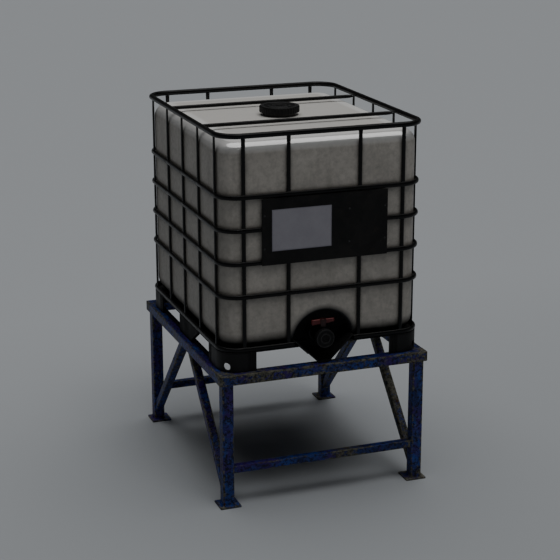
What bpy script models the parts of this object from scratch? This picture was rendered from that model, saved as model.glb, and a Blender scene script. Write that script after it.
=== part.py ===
"""Intermediate bulk container: a blow-moulded bottle in a tubular cage on a pallet, on a steel stand.

Metres, +Z up. X runs across the front, the outlet valve faces -Y, and the origin is on the floor
under the middle of the stand.
"""

import math

import bmesh
import bpy
from mathutils import Matrix, Vector

GAP = 0.0003
CORNERS = ((-1, -1, "front_left"), (1, -1, "front_right"), (-1, 1, "rear_left"), (1, 1, "rear_right"))

# Stand
STAND_TOP = 0.645
LEG_WIDTH = 0.053
LEG_X = 0.4723
LEG_Y = 0.582
FOOT_PLATE_X = 0.4675
FOOT_PLATE_Y = 0.574
FOOT_PLATE = 0.101
FOOT_PLATE_THICKNESS = 0.008
BEAM_WIDTH = 0.060
BEAM_HEIGHT = 0.048
FRAME_HALF_X = 0.512
FRAME_HALF_Y = 0.6185
RAIL_SIZE = 0.036
RAIL_HEIGHT = 0.179
BRACE_SIZE = 0.038
BRACE_FOOT_HEIGHT = 0.082
BRACE_HEAD_Y = 0.056

# Pallet
PALLET_HALF_X = 0.4905
PALLET_HALF_Y = 0.5905
PALLET_CORNER = 0.095
PALLET_BOTTOM = STAND_TOP + GAP
RIM_BOTTOM = 0.7335
RIM_TOP = 0.7392
TRAY_FLOOR = 0.722
TRAY_THICKNESS = 0.006
TRAY_SLOPE_RUN = 0.045
TRAY_TOP_HALF_X = 0.470
TRAY_TOP_HALF_Y = 0.570
TRAY_CORNER = 0.095
FOOT_WALL = 0.010
FOOT_LENGTH_X = 0.1615
FOOT_LENGTH_Y = 0.2055
FOOT_HOLE_RADIUS = 0.018
FOOT_HOLE_HEIGHT = 0.672
NOTCH_SPILL = 0.050
RUNNER_TOP = 0.660
SIDE_RUNNER_INNER = 0.464
SIDE_RUNNER_OUTER = 0.480
SIDE_RUNNER_END = 0.498
SIDE_BLOCK_REAR = 0.085
SIDE_BLOCK_FRONT = -0.112
SIDE_BLOCK_FLARE = 0.117
SIDE_BLOCK_THICKNESS = 0.0175
MIDDLE_RUNNER_HALF = 0.030
MIDDLE_RUNNER_END = 0.580
MIDDLE_BLOCK_HALF_X = 0.070
MIDDLE_BLOCK_HALF_Y = 0.120
REAR_BLOCK_HALF = 0.080
REAR_BLOCK_FRONT = 0.575
GUARD_TOP = 0.7637
GUARD_TOP_HALF = 0.147
GUARD_BOTTOM_HALF = 0.025
GUARD_DEPTH = 0.132
GUARD_WALL = 0.006
GUARD_LEAN = (GUARD_TOP - PALLET_BOTTOM) / (GUARD_TOP_HALF - GUARD_BOTTOM_HALF)
GUARD_BACK_TOP = 0.720

# Cage
CAGE_HALF_X = 0.4875
CAGE_HALF_Y = 0.5875
CAGE_CORNER = 0.100
TOP_RING_RADIUS = 0.0125
RING_HALF_DEPTH = 0.008
RING_HALF_HEIGHT = 0.011
TOP_RING_HEIGHT = 1.7286
RING_HEIGHTS = {"ring_1": 1.4543, "ring_2": 1.3034, "ring_3": 1.1512, "ring_4": 0.998}
BASE_RING_HEIGHT = 0.7505
BASE_RING_END = 0.146
POST_HALF_WIDTH = 0.009
POST_HALF_DEPTH = 0.005
POST_INSET = 0.003
FACE_POSTS_X = (-0.3828, -0.1713, 0.1713, 0.3828)
SIDE_POSTS_Y = (0.4871, 0.2430, 0.0, -0.2430, -0.4871)
POST_TOP = TOP_RING_HEIGHT - TOP_RING_RADIUS - GAP
BAR_RADIUS = 0.009
BAR_HEIGHT = TOP_RING_HEIGHT - 0.0126
BAR_HALF_LENGTH = 0.4748
PLATE_HALF_WIDTH = 0.303
PLATE_LOW = 1.138
PLATE_HIGH = 1.4425
PLATE_THICKNESS = 0.0015
LABEL_LEFT = -0.255
LABEL_RIGHT = 0.029
LABEL_LOW = 1.201
LABEL_HIGH = 1.391
LABEL_THICKNESS = 0.0006

# Bottle
BOTTLE_HALF_X = 0.477
BOTTLE_HALF_Y = 0.577
BOTTLE_BOTTOM = TRAY_FLOOR + GAP
BOTTLE_TOP = 1.696
BOTTLE_SIDE_RADIUS = 0.100
BOTTLE_BOTTOM_RADIUS = 0.090
BOTTLE_TOP_RADIUS = 0.060
BOTTLE_WALL = 0.003
NECK_RADIUS = 0.080
NECK_TOP = 1.733
NECK_WALL = 0.005
NECK_ROOT = 0.010
POCKET_RADIUS = 0.150
POCKET_HEIGHT = 0.745
POCKET_BACK = -0.455
BOSS_RADIUS = 0.036
BOSS_LENGTH = 0.030

# Filling cap
CAP_RADIUS = 0.096
CAP_BOTTOM = 1.712
CAP_TOP = 1.742
CAP_INNER_RADIUS = 0.0835
CAP_ROOF = 1.7375
CAP_RECESS_RADIUS = 0.043
CAP_RECESS_DEPTH = 0.0025
CAP_EDGE = 0.005
GASKET_INNER_RADIUS = 0.070
PLUG_HOLE_RADIUS = 0.030
PLUG_HEAD_RADIUS = 0.038
PLUG_CLEARANCE = 0.0005
PLUG_LENGTH = 0.014

# Outlet valve
VALVE_HEIGHT = 0.765
BORE_RADIUS = 0.025
BODY_BACK = -POCKET_BACK + BOSS_LENGTH + GAP
BODY_FRONT = 0.5975
FLANGE_RADIUS = 0.044
FLANGE_FRONT = 0.501
SPOUT_RADIUS = 0.032
BODY_RADIUS = 0.0345
BODY_SHOULDERS = (0.512, 0.579)
STEM_Y = -0.571
STEM_RADIUS = 0.005
STEM_CLEARANCE = 0.0005
STEM_TOP = 0.832
STEM_TAIL = 0.020
DISC_RADIUS = 0.024
DISC_THICKNESS = 0.004
TOWER_RADIUS = 0.010
TOWER_TOP = 0.812
HUB_RADIUS = 0.015
HUB_TOP = 0.852
WING_HALF_SPAN = 0.057
WING_THICKNESS = 0.014
WING_LOW = 0.822
WING_ROOT_LOW = 0.829
WING_HIGH = 0.850
WING_ROOT = 0.020
SEAL_RADIUS = 0.031
SEAL_THICKNESS = 0.0032
OUTLET_CAP_RADIUS = 0.0445
OUTLET_CAP_BORE = 0.0335
OUTLET_CAP_FRONT = 0.610
OUTLET_CAP_BACK = 0.5825
OUTLET_RECESS_RADIUS = 0.020

STEEL_BLUE = ("stand_paint", (0.045, 0.055, 0.16), 0.55, 0.35)
CAGE_BLACK = ("cage_coating", (0.018, 0.018, 0.02), 0.38, 0.35)
PALLET_BLACK = ("pallet_plastic", (0.022, 0.022, 0.024), 0.55, 0.0)
BOTTLE_WHITE = ("bottle_plastic", (0.50, 0.48, 0.45), 0.42, 0.0)
CAP_BLACK = ("cap_plastic", (0.015, 0.015, 0.017), 0.40, 0.0)
VALVE_BLACK = ("valve_plastic", (0.020, 0.020, 0.022), 0.45, 0.0)
HANDLE_RED = ("handle_plastic", (0.42, 0.045, 0.05), 0.42, 0.0)
SEAL_RUBBER = ("seal_rubber", (0.03, 0.03, 0.03), 0.8, 0.0)
PLATE_BLACK = ("plate_paint", (0.016, 0.016, 0.018), 0.45, 0.3)
LABEL_GREY = ("label_film", (0.085, 0.08, 0.10), 0.6, 0.0)


def clear_scene():
    for obj in list(bpy.data.objects):
        bpy.data.objects.remove(obj, do_unlink=True)


def new_collection(name):
    collection = bpy.data.collections.new(name)
    bpy.context.scene.collection.children.link(collection)
    return collection


def material(look):
    name, colour, roughness, metallic = look
    found = bpy.data.materials.get(name)
    if found:
        return found
    made = bpy.data.materials.new(name)
    made.use_nodes = True
    shader = made.node_tree.nodes["Principled BSDF"]
    shader.inputs["Base Color"].default_value = (*colour, 1.0)
    shader.inputs["Roughness"].default_value = roughness
    shader.inputs["Metallic"].default_value = metallic
    return made


def add_part(name, mesh, look, origin=(0.0, 0.0, 0.0), smooth=False):
    """A node of the container, with its mesh placed at origin."""
    obj = bpy.data.objects.new(name, mesh)
    obj.location = origin
    parts.objects.link(obj)
    if not mesh.materials:
        mesh.materials.append(material(look))
    if smooth:
        mesh.shade_smooth()
        mesh.set_sharp_from_angle(angle=math.radians(35))
    return obj


def add_cutter(name, mesh, origin=(0.0, 0.0, 0.0)):
    obj = bpy.data.objects.new(name, mesh)
    obj.location = origin
    obj.hide_render = True
    obj.display_type = "WIRE"
    cutters.objects.link(obj)
    return obj


def boolean(obj, other, operation):
    modifier = obj.modifiers.new(f"{operation.lower()}_{other.name}", "BOOLEAN")
    modifier.operation = operation
    modifier.object = other
    modifier.solver = "EXACT"


def mesh_from(name, bm):
    mesh = bpy.data.meshes.new(name)
    bm.to_mesh(mesh)
    bm.free()
    return mesh


def box_mesh(name, low, high):
    """An axis-aligned box between two corners."""
    low = Vector(low)
    high = Vector(high)
    bm = bmesh.new()
    bmesh.ops.create_cube(bm, size=1.0)
    bmesh.ops.scale(bm, vec=high - low, verts=bm.verts)
    bmesh.ops.translate(bm, vec=(low + high) / 2, verts=bm.verts)
    return mesh_from(name, bm)


def rod_mesh(name, radius, length, axis="Z", sides=24, flatten=None):
    """A rod centred on its origin along an axis; flatten scales its round section."""
    bm = bmesh.new()
    bmesh.ops.create_cone(
        bm, cap_ends=True, segments=sides, radius1=radius, radius2=radius, depth=length
    )
    if flatten:
        bmesh.ops.scale(bm, vec=flatten, verts=bm.verts)
    turn = {
        "X": Matrix.Rotation(math.pi / 2, 3, "Y"),
        "Y": Matrix.Rotation(math.pi / 2, 3, "X"),
        "Z": Matrix.Identity(3),
    }[axis]
    bmesh.ops.transform(bm, matrix=turn.to_4x4(), verts=bm.verts)
    return mesh_from(name, bm)


def upright_edges(bm):
    return [e for e in bm.edges if abs((e.verts[0].co - e.verts[1].co).normalized().z) > 0.99]


def level_edges(bm, height):
    return [e for e in bm.edges if all(abs(v.co.z - height) < 1e-6 for v in e.verts)]


def rounded_block_mesh(name, half_x, half_y, bottom, top, corner, segments=5):
    """A block with rounded upright edges."""
    bm = bmesh.new()
    bmesh.ops.create_cube(bm, size=1.0)
    bmesh.ops.scale(bm, vec=(2 * half_x, 2 * half_y, top - bottom), verts=bm.verts)
    bmesh.ops.translate(bm, vec=(0, 0, (top + bottom) / 2), verts=bm.verts)
    bmesh.ops.bevel(
        bm, geom=upright_edges(bm), offset=corner, segments=segments, profile=0.5, affect="EDGES"
    )
    return mesh_from(name, bm)


def tray_mesh(name, bottom, top, bottom_half, top_half):
    """A block with rounded upright edges whose sides slope out towards the top."""
    mesh = rounded_block_mesh(name, top_half[0], top_half[1], bottom, top, TRAY_CORNER)
    shrink = (bottom_half[0] / top_half[0], bottom_half[1] / top_half[1])
    for vertex in mesh.vertices:
        if abs(vertex.co.z - bottom) < 1e-6:
            vertex.co.x *= shrink[0]
            vertex.co.y *= shrink[1]
    return mesh


def bottle_mesh(name, inset):
    """The bottle's rounded body, or its inside when inset is the wall thickness."""
    bottom = BOTTLE_BOTTOM + inset
    top = BOTTLE_TOP - inset
    mesh = rounded_block_mesh(
        name, BOTTLE_HALF_X - inset, BOTTLE_HALF_Y - inset, bottom, top, BOTTLE_SIDE_RADIUS - inset
    )
    bm = bmesh.new()
    bm.from_mesh(mesh)
    for height, radius in ((bottom, BOTTLE_BOTTOM_RADIUS), (top, BOTTLE_TOP_RADIUS)):
        bmesh.ops.bevel(
            bm, geom=level_edges(bm, height), offset=radius - inset, segments=5, profile=0.5,
            affect="EDGES",
        )
    bm.to_mesh(mesh)
    bm.free()
    return mesh


def baked(obj, name):
    """The evaluated mesh of a curve or of a part with modifiers, with its loose caps welded."""
    bpy.context.view_layer.update()
    evaluated = obj.evaluated_get(bpy.context.evaluated_depsgraph_get())
    mesh = bpy.data.meshes.new_from_object(evaluated)
    mesh.name = name
    mesh.transform(obj.matrix_world)
    bm = bmesh.new()
    bm.from_mesh(mesh)
    bmesh.ops.remove_doubles(bm, verts=bm.verts, dist=1e-6)
    bm.to_mesh(mesh)
    bm.free()
    bpy.data.objects.remove(obj, do_unlink=True)
    return mesh


def outline_mesh(name, points, thickness, plane="XY", offset=0.0):
    """A flat outline given thickness. Plane XZ stands across Y and plane YZ across X."""
    curve = bpy.data.curves.new(name, "CURVE")
    curve.dimensions = "2D"
    curve.fill_mode = "BOTH"
    curve.extrude = thickness / 2
    spline = curve.splines.new("POLY")
    spline.points.add(len(points) - 1)
    for place, (x, y) in zip(spline.points, points):
        place.co = (x, y, 0.0, 1.0)
    spline.use_cyclic_u = True
    obj = bpy.data.objects.new(name, curve)
    bpy.context.scene.collection.objects.link(obj)
    upright = Matrix.Rotation(math.pi / 2, 4, "X")
    obj.matrix_world = {
        "XY": Matrix.Translation((0, 0, offset)),
        "XZ": Matrix.Translation((0, offset, 0)) @ upright,
        "YZ": Matrix.Translation((offset, 0, 0)) @ Matrix.Rotation(math.pi / 2, 4, "Z") @ upright,
    }[plane]
    return baked(obj, name)


def tube_mesh(name, points, radius, height, closed, stretch=1.0):
    """A bent level tube; stretch makes its section taller than it is deep."""
    curve = bpy.data.curves.new(name, "CURVE")
    curve.dimensions = "3D"
    curve.bevel_depth = radius
    curve.bevel_resolution = 2
    curve.use_fill_caps = not closed
    spline = curve.splines.new("POLY")
    spline.points.add(len(points) - 1)
    for place, (x, y) in zip(spline.points, points):
        place.co = (x, y, 0.0, 1.0)
    spline.use_cyclic_u = closed
    obj = bpy.data.objects.new(name, curve)
    obj.location.z = height
    obj.scale.z = stretch
    bpy.context.scene.collection.objects.link(obj)
    return baked(obj, name)


def turned_mesh(name, profile, sides=40):
    """A profile of (radius, height) points turned about Z, running down the outside, top to bottom."""
    curve_mesh = bpy.data.meshes.new(name)
    points = [(radius, 0.0, height) for radius, height in profile]
    edges = [(i, i + 1) for i in range(len(points) - 1)]
    if profile[0][0] > 0 and profile[-1][0] > 0:
        edges.append((len(points) - 1, 0))
    curve_mesh.from_pydata(points, edges, [])
    obj = bpy.data.objects.new(name, curve_mesh)
    bpy.context.scene.collection.objects.link(obj)
    screw = obj.modifiers.new("turn", "SCREW")
    screw.axis = "Z"
    screw.steps = sides
    screw.render_steps = sides
    screw.use_merge_vertices = True
    screw.merge_threshold = 0.00005
    return baked(obj, name)


def arc(centre, radius, start, end, steps):
    """Points on an arc between two angles in degrees, both ends included."""
    angles = [math.radians(start + (end - start) * i / steps) for i in range(steps + 1)]
    return [(centre[0] + radius * math.cos(a), centre[1] + radius * math.sin(a)) for a in angles]


def rounded_rectangle(half_x, half_y, corner, steps=5):
    """A loop of points round a rectangle, starting at the left end of the front's right corner."""
    loop = []
    for side_x, side_y, start in ((1, -1, 270), (1, 1, 0), (-1, 1, 90), (-1, -1, 180)):
        centre = (side_x * (half_x - corner), side_y * (half_y - corner))
        loop += arc(centre, corner, start, start + 90, steps)
    return loop


# ---------------------------------------------------------------- stand


def build_legs():
    """Each leg is welded to a foot plate that reaches further inwards than outwards."""
    leg_top = STAND_TOP - BEAM_HEIGHT - GAP
    half = LEG_WIDTH / 2
    leg = box_mesh("leg", (-half, -half, 0.0), (half, half, leg_top))
    plate = box_mesh(
        "foot_plate",
        (-FOOT_PLATE / 2, -FOOT_PLATE / 2, 0.0),
        (FOOT_PLATE / 2, FOOT_PLATE / 2, FOOT_PLATE_THICKNESS),
    )
    for side_x, side_y, corner in CORNERS:
        place = (side_x * LEG_X, side_y * LEG_Y, 0.0)
        plate_place = (side_x * FOOT_PLATE_X, side_y * FOOT_PLATE_Y, 0.0)
        post = add_part(f"stand_leg_{corner}", leg, STEEL_BLUE, place)
        boolean(post, add_cutter(f"foot_plate_{corner}", plate, plate_place), "UNION")


def build_stand_frame():
    low = STAND_TOP - BEAM_HEIGHT
    inner_y = FRAME_HALF_Y - BEAM_WIDTH
    for side, name in ((-1, "front"), (1, "rear")):
        ends = sorted((side * FRAME_HALF_Y, side * inner_y))
        mesh = box_mesh(name, (-FRAME_HALF_X, ends[0], low), (FRAME_HALF_X, ends[1], STAND_TOP))
        add_part(f"stand_beam_{name}", mesh, STEEL_BLUE)
    reach = inner_y - GAP
    for side, name in ((-1, "left"), (1, "right")):
        ends = sorted((side * FRAME_HALF_X, side * (FRAME_HALF_X - BEAM_WIDTH)))
        mesh = box_mesh(name, (ends[0], -reach, low), (ends[1], reach, STAND_TOP))
        add_part(f"stand_beam_{name}", mesh, STEEL_BLUE)


def build_stand_rails():
    half_length = LEG_X - LEG_WIDTH / 2 - GAP
    half = RAIL_SIZE / 2
    rail = box_mesh("rail", (-half_length, -half, -half), (half_length, half, half))
    for side, name in ((-1, "front"), (1, "rear")):
        add_part(f"stand_rail_{name}", rail, STEEL_BLUE, (0.0, side * LEG_Y, RAIL_HEIGHT))


def build_braces():
    """Two braces a side climb from the legs to the middle of the side beam."""
    foot_y = LEG_Y - LEG_WIDTH / 2 - GAP
    head_z = STAND_TOP - BEAM_HEIGHT - GAP
    slope = math.atan2(head_z - BRACE_FOOT_HEIGHT, foot_y - BRACE_HEAD_Y)
    rise = BRACE_SIZE / 2 / math.cos(slope)
    run = BRACE_SIZE / 2 / math.sin(slope)
    for side_x, side_y, corner in CORNERS:
        outline = [
            (side_y * foot_y, BRACE_FOOT_HEIGHT - rise),
            (side_y * foot_y, BRACE_FOOT_HEIGHT + rise),
            (side_y * (BRACE_HEAD_Y + run), head_z),
            (side_y * (BRACE_HEAD_Y - run), head_z),
        ]
        mesh = outline_mesh(f"brace_{corner}", outline, BRACE_SIZE, "YZ", side_x * LEG_X)
        add_part(f"stand_brace_{corner}", mesh, STEEL_BLUE)


# ---------------------------------------------------------------- pallet


def build_deck():
    """A rim with a sunken tray for the bottle, notched at the front for the valve's V-shaped guard."""
    deck = add_part(
        "pallet_deck",
        rounded_block_mesh("deck", PALLET_HALF_X, PALLET_HALF_Y, RIM_BOTTOM, RIM_TOP, PALLET_CORNER),
        PALLET_BLACK,
    )
    depth = RIM_TOP - TRAY_FLOOR
    floor_half = (TRAY_TOP_HALF_X - TRAY_SLOPE_RUN, TRAY_TOP_HALF_Y - TRAY_SLOPE_RUN)
    run_per_rise = TRAY_SLOPE_RUN / depth
    shell_run = TRAY_THICKNESS * math.hypot(TRAY_SLOPE_RUN, depth) / depth
    shell_bottom_run = shell_run - TRAY_THICKNESS * run_per_rise
    shell = tray_mesh(
        "tray_shell",
        TRAY_FLOOR - TRAY_THICKNESS,
        RIM_TOP - GAP,
        (floor_half[0] + shell_bottom_run, floor_half[1] + shell_bottom_run),
        (TRAY_TOP_HALF_X + shell_run, TRAY_TOP_HALF_Y + shell_run),
    )
    spill = 0.010
    spill_run = spill * run_per_rise
    hollow = tray_mesh(
        "tray_hollow",
        TRAY_FLOOR,
        RIM_TOP + spill,
        floor_half,
        (TRAY_TOP_HALF_X + spill_run, TRAY_TOP_HALF_Y + spill_run),
    )
    boolean(deck, add_cutter("tray_shell", shell), "UNION")
    boolean(deck, add_cutter("tray_hollow", hollow), "DIFFERENCE")
    half = GUARD_TOP_HALF + 2 * GAP
    high = GUARD_TOP + NOTCH_SPILL
    low = RIM_BOTTOM - NOTCH_SPILL
    low_half = half - (GUARD_TOP - low) / GUARD_LEAN
    outline = [
        (-half, high), (-half, GUARD_TOP), (-low_half, low), (low_half, low), (half, GUARD_TOP), (half, high)
    ]
    length = NOTCH_SPILL + GUARD_DEPTH + GAP
    notch = outline_mesh("valve_notch", outline, length, "XZ", -PALLET_HALF_Y - NOTCH_SPILL + length / 2)
    boolean(deck, add_cutter("valve_notch", notch), "DIFFERENCE")


def build_corner_feet():
    """Each corner foot is a wall bent round the corner, with a round hole through the bend."""
    foot_top = RIM_BOTTOM - GAP
    bend = (PALLET_HALF_X - PALLET_CORNER, PALLET_HALF_Y - PALLET_CORNER)
    outer = arc(bend, PALLET_CORNER, 0, 90, 8)
    inner = arc(bend, PALLET_CORNER - FOOT_WALL, 90, 0, 8)
    end_x = PALLET_HALF_X - FOOT_LENGTH_X
    end_y = PALLET_HALF_Y - FOOT_LENGTH_Y
    wall = (
        [(PALLET_HALF_X, end_y)] + outer + [(end_x, PALLET_HALF_Y), (end_x, PALLET_HALF_Y - FOOT_WALL)]
        + inner + [(PALLET_HALF_X - FOOT_WALL, end_y)]
    )
    middle = (foot_top + PALLET_BOTTOM) / 2
    for side_x, side_y, corner in CORNERS:
        points = [(side_x * x, side_y * y) for x, y in wall]
        mesh = outline_mesh(f"foot_{corner}", points, foot_top - PALLET_BOTTOM, "XY", middle)
        foot = add_part(f"pallet_foot_{corner}", mesh, PALLET_BLACK, smooth=True)
        reach = PALLET_CORNER * math.sqrt(0.5)
        place = (side_x * (bend[0] + reach), side_y * (bend[1] + reach), FOOT_HOLE_HEIGHT)
        drill_mesh = rod_mesh("foot_drill", FOOT_HOLE_RADIUS, 5 * FOOT_WALL, "X", 20)
        drill = add_cutter(f"foot_hole_{corner}", drill_mesh, place)
        drill.rotation_euler.z = math.radians(45) * side_x * side_y
        boolean(foot, drill, "DIFFERENCE")


def build_runners():
    """A runner under each long side and the middle, with blocks up to the deck.

    The side blocks flare out towards the front under the deck.
    """
    foot_top = RIM_BOTTOM - GAP
    low = PALLET_BOTTOM
    front, rear = SIDE_BLOCK_FRONT, SIDE_BLOCK_REAR
    flare = [
        (front, low), (rear, low), (rear, foot_top), (front - SIDE_BLOCK_FLARE, foot_top), (front, RUNNER_TOP)
    ]
    for side, name in ((-1, "left"), (1, "right")):
        ends = sorted((side * SIDE_RUNNER_OUTER, side * SIDE_RUNNER_INNER))
        runner_box = box_mesh(
            f"runner_{name}", (ends[0], -SIDE_RUNNER_END, low), (ends[1], SIDE_RUNNER_END, RUNNER_TOP)
        )
        runner = add_part(f"pallet_runner_{name}", runner_box, PALLET_BLACK)
        block_x = side * (PALLET_HALF_X - SIDE_BLOCK_THICKNESS / 2)
        block = outline_mesh(f"block_{name}", flare, SIDE_BLOCK_THICKNESS, "YZ", block_x)
        boolean(runner, add_cutter(f"block_{name}", block), "UNION")
    front = -PALLET_HALF_Y + GUARD_DEPTH + 2 * GAP
    half = MIDDLE_RUNNER_HALF
    runner_box = box_mesh("runner_middle", (-half, front, low), (half, MIDDLE_RUNNER_END, RUNNER_TOP))
    runner = add_part("pallet_runner_middle", runner_box, PALLET_BLACK)
    block_top = TRAY_FLOOR - TRAY_THICKNESS - GAP
    middle_block = box_mesh(
        "middle_block",
        (-MIDDLE_BLOCK_HALF_X, -MIDDLE_BLOCK_HALF_Y, low),
        (MIDDLE_BLOCK_HALF_X, MIDDLE_BLOCK_HALF_Y, block_top),
    )
    rear_block = box_mesh(
        "rear_block",
        (-REAR_BLOCK_HALF, REAR_BLOCK_FRONT, low),
        (REAR_BLOCK_HALF, PALLET_HALF_Y, foot_top),
    )
    boolean(runner, add_cutter("middle_block", middle_block), "UNION")
    boolean(runner, add_cutter("rear_block", rear_block), "UNION")


def build_valve_guard():
    """A V-shaped trough under the valve, open at the top and the front, with a low back wall."""
    wall_run = GUARD_WALL * math.hypot(1.0, GUARD_LEAN) / GUARD_LEAN
    floor = PALLET_BOTTOM + GUARD_WALL
    floor_half = GUARD_BOTTOM_HALF + GUARD_WALL / GUARD_LEAN - wall_run
    outline = [
        (-GUARD_TOP_HALF, GUARD_TOP),
        (-GUARD_BOTTOM_HALF, PALLET_BOTTOM),
        (GUARD_BOTTOM_HALF, PALLET_BOTTOM),
        (GUARD_TOP_HALF, GUARD_TOP),
        (GUARD_TOP_HALF - wall_run, GUARD_TOP),
        (floor_half, floor),
        (-floor_half, floor),
        (-GUARD_TOP_HALF + wall_run, GUARD_TOP),
    ]
    middle = -PALLET_HALF_Y + GUARD_DEPTH / 2
    trough = outline_mesh("guard", outline, GUARD_DEPTH, "XZ", middle)
    guard = add_part("pallet_valve_guard", trough, PALLET_BLACK)
    back_low = PALLET_BOTTOM + GUARD_WALL / 2
    inset = wall_run / 2
    low_half = GUARD_BOTTOM_HALF + (back_low - PALLET_BOTTOM) / GUARD_LEAN - inset
    high_half = GUARD_BOTTOM_HALF + (GUARD_BACK_TOP - PALLET_BOTTOM) / GUARD_LEAN - inset
    back_outline = [
        (-high_half, GUARD_BACK_TOP), (-low_half, back_low), (low_half, back_low), (high_half, GUARD_BACK_TOP)
    ]
    back_middle = -PALLET_HALF_Y + GUARD_DEPTH - GUARD_WALL
    back = outline_mesh("guard_back", back_outline, GUARD_WALL, "XZ", back_middle)
    boolean(guard, add_cutter("guard_back", back), "UNION")


# ---------------------------------------------------------------- cage


def post_places():
    """Name ending, position and facing of every upright post, seen from above."""
    inset_x = CAGE_HALF_X - POST_INSET
    inset_y = CAGE_HALF_Y - POST_INSET
    places = []
    for side, face in ((-1, "front"), (1, "rear")):
        for number, x in enumerate(FACE_POSTS_X, start=1):
            places.append((f"{face}_{number}", x, side * inset_y, "Y"))
    for side, face in ((-1, "left"), (1, "right")):
        for number, y in enumerate(SIDE_POSTS_Y, start=1):
            places.append((f"{face}_{number}", side * inset_x, y, "X"))
    return places


def post_flatten(facing):
    narrow = POST_HALF_DEPTH / POST_HALF_WIDTH
    return (1.0, narrow, 1.0) if facing == "Y" else (narrow, 1.0, 1.0)


def post_seats_mesh():
    """The cutter for one ring's seats: a short rod round every post, a gap wider than it."""
    bm = bmesh.new()
    wider = (POST_HALF_DEPTH + GAP) / POST_HALF_DEPTH
    for ending, x, y, facing in post_places():
        flatten = [wider * factor for factor in post_flatten(facing)]
        seat = rod_mesh(f"seat_{ending}", POST_HALF_WIDTH, 4 * RING_HALF_HEIGHT, "Z", 12, flatten)
        seat.transform(Matrix.Translation((x, y, 0.0)))
        bm.from_mesh(seat)
    return mesh_from("post_seats", bm)


def build_rings():
    """The top ring is round; the lower rings are taller than deep and seated over the posts."""
    loop = rounded_rectangle(CAGE_HALF_X, CAGE_HALF_Y, CAGE_CORNER)
    mesh = tube_mesh("top_ring", loop, TOP_RING_RADIUS, TOP_RING_HEIGHT, True)
    add_part("cage_top_ring", mesh, CAGE_BLACK, smooth=True)
    stretch = RING_HALF_HEIGHT / RING_HALF_DEPTH
    seats = post_seats_mesh()
    front_ends = [(BASE_RING_END, -CAGE_HALF_Y)], [(-BASE_RING_END, -CAGE_HALF_Y)]
    open_loop = front_ends[0] + loop + front_ends[1]
    levels = [(name, height, loop) for name, height in RING_HEIGHTS.items()]
    levels.append(("base_ring", BASE_RING_HEIGHT, open_loop))
    for name, height, path in levels:
        mesh = tube_mesh(name, path, RING_HALF_DEPTH, height, path is loop, stretch)
        ring = add_part(f"cage_{name}", mesh, CAGE_BLACK, smooth=True)
        boolean(ring, add_cutter(f"seats_{name}", seats, (0.0, 0.0, height)), "DIFFERENCE")


def build_posts():
    """Flattened posts stand on the pallet's rim, seated in the rings, and end under the top ring."""
    bottom = RIM_TOP + GAP
    length = POST_TOP - bottom
    meshes = {
        facing: rod_mesh(f"post_{facing}", POST_HALF_WIDTH, length, "Z", 12, post_flatten(facing))
        for facing in ("X", "Y")
    }
    for ending, x, y, facing in post_places():
        place = (x, y, bottom + length / 2)
        add_part(f"cage_post_{ending}", meshes[facing], CAGE_BLACK, place, smooth=True)


def build_top_bars():
    """Two bars cross over the bottle from one long side of the top ring to the other."""
    bar = rod_mesh("top_bar", BAR_RADIUS, 2 * BAR_HALF_LENGTH, "X", 12)
    for number, name in ((2, "rear"), (4, "front")):
        place = (0.0, SIDE_POSTS_Y[number - 1], BAR_HEIGHT)
        add_part(f"cage_top_bar_{name}", bar, CAGE_BLACK, place, smooth=True)


def build_label_plate():
    """A thin plate fixed to the front of the rings, with one blank label on it."""
    back = -CAGE_HALF_Y - RING_HALF_DEPTH - GAP
    front = back - PLATE_THICKNESS
    plate = box_mesh(
        "label_plate", (-PLATE_HALF_WIDTH, front, PLATE_LOW), (PLATE_HALF_WIDTH, back, PLATE_HIGH)
    )
    add_part("label_plate", plate, PLATE_BLACK)
    label_back = front - GAP
    label = box_mesh(
        "label_panel",
        (LABEL_LEFT, label_back - LABEL_THICKNESS, LABEL_LOW),
        (LABEL_RIGHT, label_back, LABEL_HIGH),
    )
    add_part("label_panel", label, LABEL_GREY)


# ---------------------------------------------------------------- bottle and its fittings


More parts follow.
